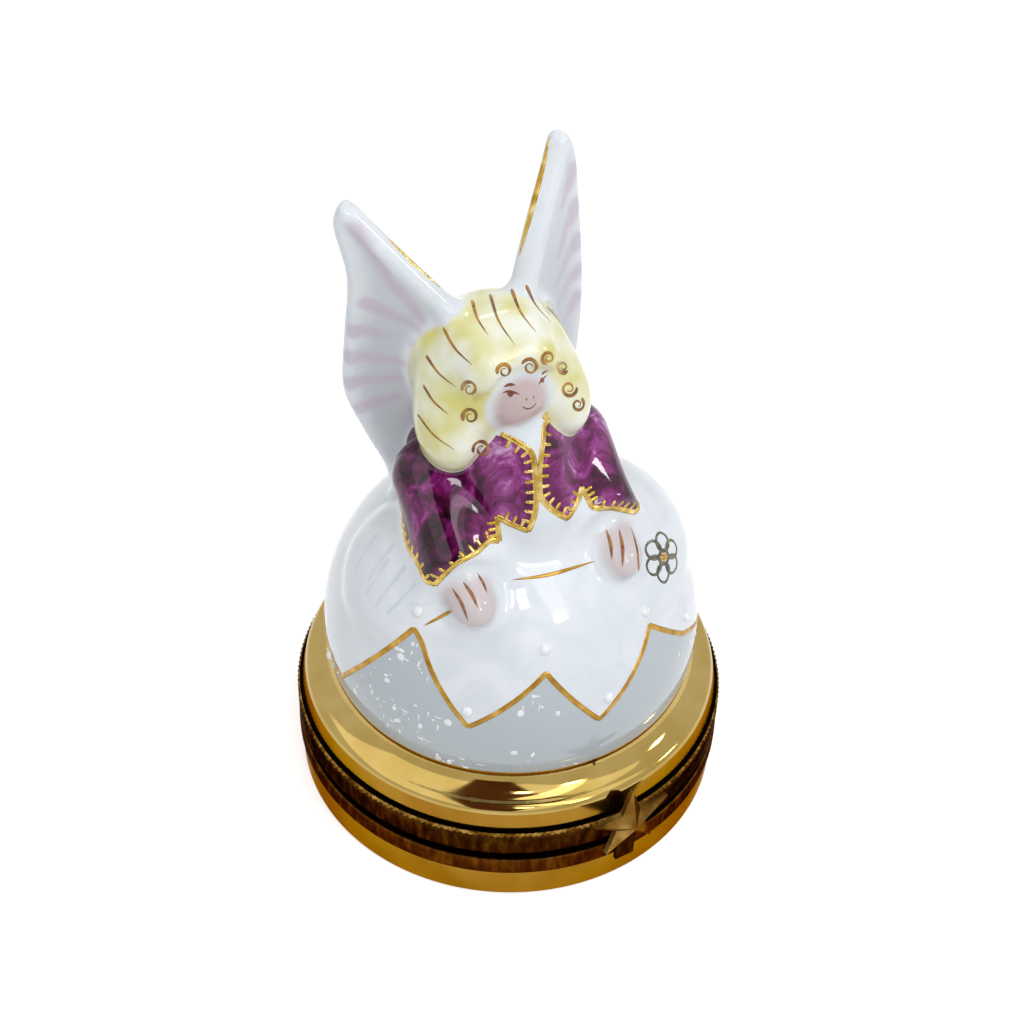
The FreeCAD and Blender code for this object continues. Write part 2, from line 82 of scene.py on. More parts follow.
def colourRamp(tree, value, stops):
    node = addNode(tree, "ValToRGB", {"Fac": value})
    elements = node.color_ramp.elements
    for at, code in stops:
        elements.new(at).color = hexColour(code)
    for spare in (0, -1):  # the two stops that every new ramp starts with
        elements.remove(elements[spare])
    return node.outputs["Color"]


def newMaterial(name, **surface):
    material = bpy.data.materials.new(name)
    material.use_nodes = True
    shader = material.node_tree.nodes["Principled BSDF"]
    for socket, value in surface.items():
        shader.inputs[socket.replace("_", " ")].default_value = value
    return material, material.node_tree, shader


def newPiece(name, points, faces, body, slot, *materials, replaced=()):
    mesh = bpy.data.meshes.new(name)
    mesh.from_pydata((np.asarray(points) * mm).tolist(), [], [tuple(f) for f in faces])
    mesh.shade_smooth()
    for material in materials:
        mesh.materials.append(material)
    piece = bpy.data.objects.new(name, mesh)
    bpy.context.collection.objects.link(piece)
    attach(piece, body)
    if replaced:
        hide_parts(*replaced)
    return piece


def turned(degrees, u, v):
    # turns the first of two axes towards the second
    a = radians(degrees)
    matrix = np.eye(3)
    matrix[u, u] = matrix[v, v] = cos(a)
    matrix[v, u] = sin(a)
    matrix[u, v] = -matrix[v, u]
    return matrix


def easeStep(low, high, x):
    t = np.clip((x - low) / (high - low), 0, 1)
    return t * t * (3 - 2 * t)


def outFrom(azimuth, elevation):
    # direction away from the box, with the azimuth counted from its front
    a, e = radians(azimuth), radians(elevation)
    return np.array([sin(a) * cos(e), -cos(a) * cos(e), sin(e)])


def placed(right, up, out, at):
    return Matrix([[right[i], up[i], out[i], at[i]] for i in range(3)] + [[0, 0, 0, 1]])


# camera, set where the photograph was taken from

photo = {
    "azimuth": -32.4, "elevation": 43.0, "distance": 250.0, "aim": (0.0, 0.0, 40.0),
    "focalPixels": 2270.0, "roll": -2.0, "centrePixel": (515.0, 491.5), "frame": 1024.0, "sensor": 36.0,
}
az, roll = radians(photo["azimuth"]), radians(photo["roll"])
backward = outFrom(photo["azimuth"], photo["elevation"])
levelRight = np.array([cos(az), sin(az), 0.0])
levelUp = np.cross(backward, levelRight)
camRight = levelRight * cos(roll) - levelUp * sin(roll)
camUp = levelRight * sin(roll) + levelUp * cos(roll)
eye = np.array(photo["aim"]) + backward * photo["distance"]

camera = bpy.data.objects.new("camera", bpy.data.cameras.new("camera"))
camera.data.sensor_width = photo["sensor"]
camera.data.lens = photo["focalPixels"] / photo["frame"] * photo["sensor"]
camera.data.shift_x = (photo["frame"] / 2 - photo["centrePixel"][0]) / photo["frame"]
camera.data.shift_y = (photo["centrePixel"][1] - photo["frame"] / 2) / photo["frame"]
camera.data.clip_start, camera.data.clip_end = 0.01, 10
camera.matrix_world = placed(camRight, camUp, backward, eye * mm)
bpy.context.collection.objects.link(camera)
bpy.context.scene.camera = camera
print("camera set")


# porcelain lid: dome, torso, arms, hands, head and wings as one field of distances, because
# the castings are joined with slip and fired under one glaze. Distances are in millimetres,
# negative inside the clay.

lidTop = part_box("lid_shell")[1][2] / mm
dome = {"crownRadius": 2.0, "arc": 19.506, "wall": 2.4, "top": lidTop, "bottom": 16.2}
dome["belly"] = dome["top"] - dome["arc"]
pose = {"turn": -10.4, "lean": -6.0, "rise": 1.0}
pivot = np.array([0, 0, dome["top"] + pose["rise"]])
dressTurn = turned(pose["turn"], 0, 1)
figureTurn = dressTurn @ turned(pose["lean"], 2, 0)

head = {  # middles, half sizes and roundings in the frame of the figure
    "hair": ((-0.8, 1.8, 15.9), (8.4, 8.0, 7.6)),
    "lobe": ((6.3, -0.6, 11.0), (3.3, 4.5, 4.8)), "lobeBlend": 3.0,
    "fringe": ((-0.6, -2.4, 20.7), (5.0, 4.5, 2.9), 2.75), "fringeBlend": 2.4,
    "window": ((-0.2, -9.0, 14.6), (5.2, 5.4, 7.6)), "windowBlend": 2.0,
    "face": ((-0.3, -2.8, 16.4), (3.9, 3.7, 4.9)), "faceBlend": 1.4, "neckBlend": 0.7,
}
torso = {
    "bust": ((0.0, 1.6, 1.6), (8.8, 8.6, 9.8)),
    "throat": ((0.0, -2.0, 12.4), (0.0, -5.0, 1.4), 2.8, 5.0), "throatBlend": 3.5,
}
arms = {  # shoulder, wrist, their radii, length to the cuff and middle of the hand, in the frame of the dress
    "left": ((7.2, 0.8, 3.4), (8.0, -8.0, -1.6), 3.6, 3.4, 9.2, (7.9, -10.6, -3.9)),
    "right": ((-9.7, 0.4, 3.0), (-9.6, -8.8, -2.6), 4.2, 3.8, 10.8, (-9.3, -11.6, -4.6)),
    "length": 14.0, "flare": 1.4, "cuffBlend": 0.8, "blend": 4.0, "domeBlend": 4.0,
    "handRadii": (2.5, 3.6, 2.4), "handBlend": 2.0,
}
wing = {  # outlines along the blade and above the pivot, from the inner foot round the tip
    "leftOutline": [
        (2.6, -4.0), (2.6, 12.0), (2.8, 19.0), (4.0, 23.0), (5.8, 25.8), (8.6, 29.2), (12.5, 33.4),
        (14.6, 35.8), (16.0, 35.7), (17.1, 32.4), (17.0, 25.5), (16.6, 18.2), (15.0, 11.0), (12.2, 5.1),
        (10.8, 1.0), (9.6, -4.0)],
    "rightOutline": [
        (2.6, -4.0), (2.6, 12.0), (2.8, 19.0), (4.2, 23.2), (6.2, 25.9), (8.8, 28.8), (12.2, 32.9),
        (14.5, 35.5), (15.7, 35.6), (16.6, 33.0), (16.0, 26.5), (17.4, 18.2), (18.4, 11.0), (16.9, 5.4),
        (15.2, 1.0), (13.0, -4.0)],
    "left": 42.0, "right": 36.5,  # how far each blade is swept back
    "thickness": 3.2, "tipThickness": 2.6, "rootLevel": 12.0, "tipLevel": 35.0, "rounding": 1.3,
    "hollow": 0.6, "rim": (0.9, 2.6), "hairBlend": 2.2,
    "boxMiddle": (10.5, 16.0), "boxHalf": (8.5, 20.5), "boxGap": 0.2, "reach": 5.0,  # exact only this near
    # the grey wash and painted shade of the hollow fronts: its rim, its rise with the fade towards the tips,
    # and how far round the front it reaches
    "wash": {"rim": (0.2, 4.0), "rise": (10, 32), "fade": 0.5, "front": 0.8},
}
lowerWing = {"angle": 80.0, "relief": 1.8, "radii": (4.5, 8.8, 8.0), "drop": 7.2, "blend": 1.0}


def ellipsoidField(p, centre, radii):
    q = (p - centre) / radii
    k0 = np.linalg.norm(q, axis=1)
    k1 = np.linalg.norm(q / radii, axis=1)
    return k0 * (k0 - 1) / np.maximum(k1, 1e-9)


def blockField(p, centre, half, rounding):
    q = np.abs(p - centre) - np.array(half) + rounding
    return np.linalg.norm(np.maximum(q, 0), axis=1) + np.minimum(q.max(1), 0) - rounding


def coneField(p, start, end, startRadius, endRadius):
    start, along = np.array(start), np.array(end) - np.array(start)
    t = np.clip((p - start) @ along / (along @ along), 0, 1)
    radius = startRadius + (endRadius - startRadius) * t
    return np.linalg.norm(p - start - t[:, None] * along, axis=1) - radius


def smoothMin(a, b, blend):
    h = np.clip(0.5 + 0.5 * (b - a) / blend, 0, 1)
    return b + (a - b) * h - blend * h * (1 - h)


def outlineField(p, corners):
    nearest = np.full(len(p), 1e9)
    inside = np.zeros(len(p), bool)
    for (ax, ay), (bx, by) in zip(corners, np.roll(corners, -1, axis=0)):
        wx, wy, ex, ey = p[:, 0] - ax, p[:, 1] - ay, bx - ax, by - ay
        t = np.clip((wx * ex + wy * ey) / (ex * ex + ey * ey), 0, 1)
        nearest = np.minimum(nearest, (wx - ex * t) ** 2 + (wy - ey * t) ** 2)
        if ay != by:
            inside ^= ((ay > p[:, 1]) != (by > p[:, 1])) & (wx < ex * wy / ey)
    return np.where(inside, -1, 1) * np.sqrt(nearest)


def smoothCurve(points, steps, closed=False):
    # Catmull-Rom curve through the points
    points = np.asarray(points, float)
    if closed:
        ring = np.vstack([points[-1:], points, points[:2]])
    else:
        ring = np.vstack([2 * points[:1] - points[1:2], points, 2 * points[-1:] - points[-2:-1]])
    t = np.linspace(0, 1, steps, endpoint=False)[:, None]
    spans = []
    for a, b, c, d in zip(ring, ring[1:], ring[2:], ring[3:]):
        square, cube = 2 * a - 5 * b + 4 * c - d, 3 * b - a - 3 * c + d
        spans.append(0.5 * (2 * b + (c - a) * t + square * t ** 2 + cube * t ** 3))
    curve = np.vstack(spans)
    return curve if closed else np.vstack([curve, points[-1:]])


wingOutline = {side: smoothCurve(wing[side + "Outline"], 5, closed=True) for side in ("left", "right")}


def toWing(q, side):
    # distance out along the blade, across it and above the pivot
    a = radians(wing[side])
    x = q[:, 0] if side == "left" else -q[:, 0]
    y = q[:, 1]
    return np.stack([x * cos(a) + y * sin(a), -x * sin(a) + y * cos(a), q[:, 2]], 1)


def wingField(q, side):
    w = toWing(q, side)
    across = np.abs(w[:, 1])
    thin = easeStep(wing["rootLevel"], wing["tipLevel"], w[:, 2])
    half = (wing["thickness"] + (wing["tipThickness"] - wing["thickness"]) * thin) / 2
    past = np.abs(w[:, [0, 2]] - wing["boxMiddle"]) - wing["boxHalf"]
    past = np.column_stack([across - half, past])
    field = np.linalg.norm(np.maximum(past, 0), axis=1) + wing["boxGap"]
    near = field < wing["reach"]
    r = np.minimum(wing["rounding"], half[near] * 0.85)
    outline = outlineField(w[near][:, [0, 2]], wingOutline[side])
    dished = wing["hollow"] * easeStep(*wing["rim"], -outline) * (w[near, 1] < 0)  # hollow front, raised rim
    edge = outline + r
    face = across[near] - half[near] + r + dished
    beyond = np.hypot(np.maximum(edge, 0), np.maximum(face, 0))
    field[near] = np.minimum(np.maximum(edge, face), 0) + beyond - r
    return field


def domeField(p, shrink=0.0):
    radius = np.maximum(np.hypot(p[:, 0], p[:, 1]) - dome["crownRadius"], 0)
    return np.hypot(radius, p[:, 2] - dome["belly"]) - (dome["arc"] - shrink)


def clayParts(p):
    q, d = (p - pivot) @ figureTurn, (p - pivot) @ dressTurn
    mirrored = q.copy()
    mirrored[:, 0] = np.abs(q[:, 0] - head["hair"][0][0])
    lobes = ellipsoidField(mirrored, *head["lobe"])
    hair = smoothMin(ellipsoidField(q, *head["hair"]), lobes, head["lobeBlend"])
    hair = smoothMin(hair, blockField(q, *head["fringe"]), head["fringeBlend"])
    hair = -smoothMin(-hair, ellipsoidField(q, *head["window"]), head["windowBlend"])
    face = ellipsoidField(q, *head["face"])
    body = smoothMin(ellipsoidField(q, *torso["bust"]), coneField(q, *torso["throat"]), torso["throatBlend"])
    hands, lowerLobes = [], []
    for side in ("left", "right"):
        start, end, startRadius, endRadius, cuffLength, middle = arms[side]
        along = np.array(end) - start
        along = along / np.linalg.norm(along)
        endRadius = startRadius + (endRadius - startRadius) * arms["flare"]
        sleeve = coneField(d, start, start + along * arms["length"], startRadius, endRadius)
        sleeve = -smoothMin(-sleeve, cuffLength - (d - start) @ along, arms["cuffBlend"])
        body = smoothMin(body, sleeve, arms["blend"])
        hands.append(ellipsoidField(d, middle, arms["handRadii"]))
    wings = np.minimum(wingField(q, "left"), wingField(q, "right"))
    reach = dome["arc"] + lowerWing["relief"] - lowerWing["radii"][0]
    tilt = asin((dome["arc"] - lowerWing["drop"]) / reach)
    for sign in (1, -1):
        heading = radians(sign * lowerWing["angle"] - 90)
        out = np.array([cos(heading), sin(heading), 0])
        level = -pose["rise"] - lowerWing["drop"]
        centre = out * (dome["crownRadius"] + reach * cos(tilt)) + [0, 0, level]
        lift = np.array([-out[0] * sin(tilt), -out[1] * sin(tilt), cos(tilt)])
        normal = out * cos(tilt) + [0, 0, sin(tilt)]
        axes = np.stack([normal, np.cross(lift, normal), lift], 1)
        lowerLobes.append(ellipsoidField((d - centre) @ axes, np.zeros(3), lowerWing["radii"]))
    return {"hair": hair, "face": face, "body": body, "hands": np.minimum(*hands), "wings": wings,
            "lobes": np.minimum(*lowerLobes), "dome": domeField(p)}


def bareField(p):
    c = clayParts(p)
    field = smoothMin(c["dome"], c["lobes"], lowerWing["blend"])
    field = smoothMin(field, c["hands"], arms["handBlend"])
    field = smoothMin(field, c["body"], arms["domeBlend"])
    field = smoothMin(field, smoothMin(c["hair"], c["face"], head["faceBlend"]), head["neckBlend"])
    return smoothMin(field, c["wings"], wing["hairBlend"])


def clayField(p):
    return np.maximum(np.maximum(bareField(p), -domeField(p, dome["wall"])), dome["bottom"] - p[:, 2])


def slope(field, p, reach=0.04):
    steps = np.eye(3) * reach
    return np.stack([field(p + s) - field(p - s) for s in steps], 1) / (2 * reach)


def settle(p, field, rounds=3):
    # move points to the surface of a field, along its slope
    for _ in range(rounds):
        g = slope(field, p)
        p = p - (field(p) / np.maximum((g * g).sum(1), 0.05))[:, None] * g
    return p


def meshField(field, low, high, step, block=6):
    # sample the field finely only in blocks that its surface can cross
    low = np.array(low, float)
    blocks = np.ceil((np.array(high) - low) / (step * block)).astype(int)
    centres = low + (np.stack(np.meshgrid(*map(np.arange, blocks), indexing="ij"), -1) + 0.5) * step * block
    rough = field(centres.reshape(-1, 3)).reshape(blocks)
    values = np.kron(rough, np.ones((block,) * 3))
    near = np.argwhere(np.abs(rough) < step * block * 1.5)
    local = np.stack(np.meshgrid(*[np.arange(block)] * 3, indexing="ij"), -1).reshape(-1, 3)
    nodes = (near[:, None, :] * block + local[None]).reshape(-1, 3)
    values[tuple(nodes.T)] = field(low + nodes * step)
    # surface nets: a point in each cell that the surface crosses, a quad round each crossed edge
    inside = values < 0
    size = np.array(inside.shape) - 1
    filled = np.zeros(size, np.int8)
    for corner in itertools.product((0, 1), repeat=3):
        filled += inside[tuple(slice(c, c + n) for c, n in zip(corner, size))]
    crossed = (filled > 0) & (filled < 8)
    index = np.full(size, -1)
    index[crossed] = np.arange(crossed.sum())
    points = low + (np.argwhere(crossed) + 0.5) * step
    faces = []
    for axis in range(3):
        u, v = (axis + 1) % 3, (axis + 2) % 3
        first, second = [slice(None)] * 3, [slice(None)] * 3
        first[axis], second[axis] = slice(0, -1), slice(1, None)
        edges = np.argwhere(inside[tuple(first)] != inside[tuple(second)])
        for k in (u, v):
            edges = edges[(edges[:, k] > 0) & (edges[:, k] < size[k])]
        quad = []
        for du, dv in ((-1, -1), (0, -1), (0, 0), (-1, 0)):
            cell = edges.copy()
            cell[:, u] += du
            cell[:, v] += dv
            quad.append(index[tuple(cell.T)])
        quad = np.stack(quad, 1)
        leaving = inside[tuple(edges.T)]
        faces.append(np.where(leaving[:, None], quad, quad[:, ::-1]))
    return points, np.vstack(faces)


def relax(points, faces, field, rounds=3):
    # even out the net, keeping it on the surface
    here, there = np.vstack([faces[:, [i, (i + k) % 4]] for k in (1, -1) for i in range(4)]).T
    size = len(points)
    count = np.bincount(here, minlength=size)[:, None]
    for _ in range(rounds):
        total = np.stack([np.bincount(here, points[there, k], size) for k in range(3)], 1)
        points = settle(0.5 * points + 0.5 * total / count, field, 1)
    return settle(points, field, 2)


netStep = 0.34  # about three pixels of the photograph
clayHalf = 23.5  # past the widest of skirt and wings
clayLow = [-clayHalf, -clayHalf, dome["bottom"] - 1]
clayHigh = [clayHalf, clayHalf, cadBox[1][2] / mm + 1.5]
clayPoints, clayFaces = meshField(clayField, clayLow, clayHigh, netStep)
clayPoints = relax(clayPoints, clayFaces, clayField)
print("porcelain net", len(clayPoints), "points")


# where paint goes: points traced onto the porcelain, and distances from painted edges


def unit(v):
    return v / np.linalg.norm(v, axis=-1, keepdims=True)


# where tracing starts, clear of the clay: distances from the camera, and from the axis of each part
traceFrom = {"eye": 150.0, "dress": 24.0, "skirt": 27.0, "hair": 22.0}


def trace(starts, rays, field, rounds=70, farthest=150):
    gone = np.zeros(len(starts))
    for _ in range(rounds):
        ahead = field(starts + rays * gone[:, None]) * 0.8
        gone = np.minimum(gone + ahead, farthest)
        if np.abs(ahead).max() < 0.003:
            break
    return settle(starts + rays * gone[:, None], field, 1)


def fromPhoto(pixels):
    offset = (np.asarray(pixels, float) - photo["centrePixel"]) / photo["focalPixels"]
    rays = unit(offset[:, :1] * camRight - offset[:, 1:] * camUp - backward)
    return trace(eye + rays * traceFrom["eye"], rays, bareField)


def runsFromPhoto(runs):
    return np.split(fromPhoto(np.vstack(runs)), np.cumsum([len(run) for run in runs])[:-1])


def dressField(p):
    # the porcelain without the wings
    c = clayParts(p)
    return smoothMin(smoothMin(c["dome"], c["hands"], arms["handBlend"]), c["body"], arms["domeBlend"])


def ringStarts(part, angles, levels, axis=0.0):
    # places round an upright axis to trace from, and their directions from it
    a = np.radians(angles)
    out = np.stack([np.sin(a), -np.cos(a), 0 * a], 1)
    return out * traceFrom[part] + np.stack([0 * a, 0 * a + axis, levels], 1), out


def onDress(angles, heights):
    # angles round the axis of the dress from its front, heights above the pivot
    start, out = ringStarts("dress", angles, heights, jacket["axis"])
    return trace(start @ dressTurn.T + pivot, -out @ dressTurn.T, dressField)


def onSkirt(angles, levels):
    start, out = ringStarts("skirt", angles, levels)
    return trace(start, -out, bareField)


def turnOf(p, axis=0.0):
    # angle from the front, in degrees
    return np.degrees(np.arctan2(p[:, 0], axis - p[:, 1]))


def onWing(along, across, height, side):
    a = radians(wing[side])
    x = along * cos(a) - across * sin(a)
    y = along * sin(a) + across * cos(a)
    return np.stack([x if side == "left" else -x, y, height], 1) @ figureTurn.T + pivot


jacket = {  # edges of the fronts, as angle from the front and height above the pivot, then round the back
    "right": [
        [(-33.3, 11.3), (-18.1, 10.7), (-6.8, 9.5), (-5.9, 7.1), (-7.0, 4.2), (-11.9, 1.4)],
        [(-11.9, 1.4), (-30.5, 2.6)], [(-30.5, 2.6), (-27.9, 0.1)],
        [(-27.9, 0.1), (-34.9, 0.7), (-40.9, 0.5), (-45.8, -1.1), (-50.5, -3.2)],
        [(-50.5, -3.2), (-58.6, -2.0), (-70.5, -1.9), (-88, -0.5), (-105, 1.5), (-130, 3.0), (-180, 3.4)]],
    "left": [
        [(26.0, 13.4), (20.3, 11.7), (9.5, 11.1), (-0.4, 8.6), (-3.3, 6.3), (-1.9, 4.6), (12.9, 1.6)],
        [(12.9, 1.6), (29.4, 3.7)], [(29.4, 3.7), (29.2, 1.8)], [(29.2, 1.8), (40.7, 0.5), (54.1, -2.0)],
        [(54.1, -2.0), (75, -1.6), (95, 0.0), (115, 2.0), (140, 3.2), (180, 3.4)]],
    "axis": 1.0, "girth": 10.0, "hairGap": 0.15, "wingGap": 0.3, "faceGap": 1.2, "reach": 1.6,
}
hem = {  # corners of the zigzag: pixels of the photograph, and angle and level where it doesn't show
    "pixels": [
        (342.5, 676.5), (414, 628), (468, 727), (546, 673), (599.5, 719.5), (649.5, 625), (682.5, 633.5)],
    "hidden": [
        (-180, 27.0), (-162, 19.5), (-147, 22.5), (72, 18.5), (92, 26.0), (112, 19.5), (134, 27.5),
        (156, 19.5), (180, 27.0)],
    "half": 0.3, "lift": 0.09,
}
seen = fromPhoto(hem["pixels"])
seen = np.stack([turnOf(seen), seen[:, 2]], 1)
hemCorners = np.array(sorted(seen.tolist() + hem["hidden"], key=lambda corner: corner[0]))
hemAngles, hemLevels = hemCorners.T


def insideJacket(p, parts):
    # distance inside the painted fronts, in millimetres, and negative outside them
    d = (p - pivot) @ dressTurn
    chart = np.stack([np.radians(turnOf(d, jacket["axis"])) * jacket["girth"], d[:, 2]], 1)
    inside = np.full(len(p), -9.0)
    for side, end in (("left", 180), ("right", -180)):
        corners = [c for span in jacket[side] for c in span[:-1]] + [jacket[side][-1][-1]]
        corners += [(end, 25.0), (corners[0][0], 25.0)]
        corners = np.array(corners) * [radians(jacket["girth"]), 1]
        inside = np.maximum(inside, -outlineField(chart, corners))
    inside = np.minimum(inside, jacket["reach"] - parts["body"])  # stays on the torso and arms
    for part, gap in (("hair", "hairGap"), ("face", "faceGap"), ("wings", "wingGap")):
        inside = np.minimum(inside, parts[part] - jacket[gap])
    return inside


def belowHem(p):
    return (np.interp(turnOf(p), hemAngles, hemLevels) - p[:, 2]) * 0.75


feathers = [  # pixels that each pink stroke runs through, from the root outwards, and its half widths in mm
    ([(421, 320), (411, 304), (393, 284), (373, 256), (355, 229)], 0.6, 1.2),
    ([(419, 330), (366, 303)], 0.3, 0.8), ([(415, 347), (354, 332)], 0.3, 0.9),
    ([(405, 364), (349, 358)], 0.3, 0.9), ([(401, 378), (349, 384)], 0.3, 0.8),
    ([(397, 396), (361, 408)], 0.3, 0.7), ([(563, 205), (575, 168)], 0.4, 0.9),
    ([(559, 256), (577, 205)], 0.4, 1.0), ([(557, 283), (579, 240)], 0.4, 1.0),
    ([(560, 299), (579, 270)], 0.4, 0.9), ([(566, 318), (577, 297)], 0.4, 0.8),
]
slipStrokes = [
    [(367, 594), (388, 560)], [(376, 606), (405, 567)], [(388, 613), (415, 584)], [(355, 570), (376, 536)],
    [(369, 579), (393, 545)]]
lowerFeathers = [(pixels, 0.12, 0.2) for pixels in slipStrokes]


def strokeTint(p, strokes, soft):
    tint = np.zeros(len(p))
    runs = runsFromPhoto([pixels for pixels, _, _ in strokes])
    for run, (_, first, last) in zip(runs, strokes):
        halves = np.linspace(first, last, len(run))
        for start, end, near, far in zip(run, run[1:], halves, halves[1:]):
            tint = np.maximum(tint, 1 - easeStep(-near, soft, coneField(p, start, end, near, far)))
    return tint


def hollowWashAndShade(p, parts):
    # a grey wash and painted shade in the hollow fronts of the wings: darker inside the rims, fainter towards
    # the tips
    tint, wash = np.zeros(len(p)), wing["wash"]
    for side in ("left", "right"):
        w = toWing((p - pivot) @ figureTurn, side)
        depth = easeStep(*wash["rim"], -outlineField(w[:, [0, 2]], wingOutline[side]))
        depth *= 1 - wash["fade"] * easeStep(*wash["rise"], w[:, 2])
        depth *= 1 - easeStep(-wash["front"], wash["front"], w[:, 1])
        tint = np.maximum(tint, depth * (np.abs(w[:, 1]) < wing["thickness"]))
    others = np.minimum(np.minimum(parts["hair"], parts["body"]), parts["dome"])
    return tint * easeStep(-0.5, 2.0, others - parts["wings"])


parts = clayParts(clayPoints)


def closer(part, *others):
    # how much nearer the porcelain's points are to one part than to two others, in millimetres
    return 0.5 * (np.minimum(*(parts[other] for other in others)) - parts[part])


paint = {
    "jacket": insideJacket(clayPoints, parts),
    "underskirt": np.where(parts["dome"] > -dome["wall"] / 2, belowHem(clayPoints), -9.0),
    "hairTint": easeStep(-0.2, 0.6, closer("hair", "face", "wings"))
    * easeStep(-0.1, 0.1, closer("hair", "body", "dome")),
    "faceTint": easeStep(-0.3, 0.9, closer("face", "hair", "body")),
    "handTint": easeStep(-0.4, 1.2, closer("hands", "body", "dome")),
    "featherTint": strokeTint(clayPoints, feathers, 0.8),
    "brushTint": strokeTint(clayPoints, lowerFeathers, 0.25),
    "wingWashAndShade": hollowWashAndShade(clayPoints, parts),
}
print("paint laid out")

# materials


def noiseAt(tree, size, stretch=(1, 1, 1), **inputs):
    # noise whose features are about this many millimetres across, and longer where stretch is under 1
    spot = addNode(tree, "TexCoord").outputs["Object"]
    spot = addNode(tree, "VectorMath", {0: spot, 1: stretch}, operation="MULTIPLY").outputs[0]
    return addNode(tree, "TexNoise", {"Vector": spot, "Scale": 1 / (size * mm), **inputs}).outputs["Fac"]


def bumped(tree, shader, height, depth, strength=1.0):
    bump = addNode(tree, "Bump", {"Height": height, "Distance": depth * mm, "Strength": strength})
    tree.links.new(bump.outputs["Normal"], shader.inputs["Normal"])


# glazed porcelain painted by hand: a clear glossy glaze with small sharp highlights, soft tints sprayed under
# it and a mottled plum enamel that was dabbed on
glazed, tree, shader = newMaterial(
    "handPaintedGlazedPorcelain", Roughness=0.06, IOR=1.5, Specular_IOR_Level=0.36)
# the wing grey is a wash that is also painted shade in the wings' hollow fronts
tints = {
    "clay": ("e1e8ef", "eaf0f6"), "underskirt": "bec7cd", "brush": "d0d9e0", "wing": "c5c9d2",
    "feather": "c6aec8", "skin": "cdb8b8", "hair": ("f8faec", "e0db82"),
    "plum": [(0.37, "14010c"), (0.45, "440732"), (0.52, "74185f"), (0.59, "9f4293"), (0.68, "dcb2de")]}


def paintMask(name, low, high, rough=0.0):
    mask = addNode(tree, "Attribute", attribute_name=name).outputs["Fac"]
    if rough:
        brush = noiseAt(tree, 1.1, Detail=3.0)
        shift = addNode(tree, "Math", {0: brush, 1: 0.5}, operation="SUBTRACT").outputs[0]
        mask = addNode(tree, "Math", {0: shift, 1: rough, 2: mask}, operation="MULTIPLY_ADD").outputs[0]
    ends = {"Value": mask, "From Min": low, "From Max": high}
    return addNode(tree, "MapRange", ends, interpolation_type="SMOOTHSTEP").outputs["Result"]


def paintOver(under, mask, colour):
    return addNode(tree, "MixRGB", {"Fac": mask, "Color1": under, "Color2": colour}).outputs["Color"]


# white slip brushed on in swirls, then each tint over it in turn
swirls = noiseAt(tree, 9.0, Detail=3.0, Distortion=2.0)
colour = colourRamp(tree, swirls, [(0.35, tints["clay"][0]), (0.6, tints["clay"][1])])
for mask, low, high, rough, tint in (
        ("underskirt", -0.05, 0.05, 0.0, "underskirt"), ("brushTint", 0.0, 1.3, 0.4, "brush"),
        ("wingWashAndShade", 0.0, 1.0, 0.0, "wing"), ("featherTint", 0.0, 1.9, 0.3, "feather"),
        ("faceTint", 0.0, 1.0, 0.0, "skin"), ("handTint", 0.0, 1.6, 0.0, "skin")):
    colour = paintOver(colour, paintMask(mask, low, high, rough), hexColour(tints[tint]))
wash = colourRamp(tree, noiseAt(tree, 5.0, Detail=2.0), [(0.35, tints["hair"][0]), (0.65, tints["hair"][1])])
colour = paintOver(colour, paintMask("hairTint", 0.0, 1.0, rough=0.3), wash)
dabs = noiseAt(tree, 3.1, stretch=(1, 1, 0.7), Detail=6.0, Roughness=0.66, Distortion=1.2)
pools = noiseAt(tree, 9.0, Detail=1.0)  # where the enamel ran together and is darker
depths = addNode(tree, "MixRGB", {"Fac": 0.35, "Color1": dabs, "Color2": pools}).outputs["Color"]
colour = paintOver(colour, paintMask("jacket", -0.04, 0.04), colourRamp(tree, depths, tints["plum"]))
tree.links.new(colour, shader.inputs["Base Color"])
bumped(tree, shader, noiseAt(tree, 2.5, Detail=2.0), 0.012)

# white glazed porcelain inside the box: the same glaze, poured
whiteGlaze, tree, shader = newMaterial(
    "whitePouredGlaze", Base_Color=hexColour("e4e8ec"), Roughness=0.12, IOR=1.5)
bumped(tree, shader, noiseAt(tree, 4.0, Detail=2.0), 0.02)

# unglazed foot: fine dry clay, without any shine
biscuit, tree, shader = newMaterial("groundBiscuitPorcelain", Base_Color=hexColour("e2dbcf"), Roughness=0.75)
bumped(tree, shader, noiseAt(tree, 0.25, Detail=3.0), 0.02)


def metal(name, size, stops, roughness, depth, edge="ffffff", **noise):
    material, tree, shader = newMaterial(name, Metallic=1.0, Specular_Tint=hexColour(edge))
    colour = colourRamp(tree, noiseAt(tree, size, **noise), stops)
    tree.links.new(colour, shader.inputs["Base Color"])
    spread = {"Value": noiseAt(tree, size * 0.6, Detail=4.0), "From Min": 0.3, "From Max": 0.7,
              "To Min": roughness[0], "To Max": roughness[1]}
    tree.links.new(addNode(tree, "MapRange", spread).outputs["Result"], shader.inputs["Roughness"])
    bumped(tree, shader, noiseAt(tree, size * 0.5, Detail=4.0), depth)
    return material


# liquid gold fired over glaze and burnished: a mirror with faint smears
brightGold = metal(
    "burnishedFiredGold", 6.0, [(0.3, "a48a46"), (0.7, "b59c60")], (0.05, 0.11), 0.003, Detail=3.0)
# the same gold on the outer bands, rubbed to a satin
satinGold = metal(
    "rubbedFiredGold", 5.0, [(0.3, "8e651f"), (0.7, "9a732b")], (0.22, 0.3), 0.003, "c9a24a", Detail=2.0)
# gold drawn with a brush: flatter and browner in places
brushGold = metal(
    "brushedOnGold", 1.6, [(0.3, "8f6a26"), (0.5, "ab8338"), (0.7, "c49c50")], (0.28, 0.42), 0.01, Detail=2.0)
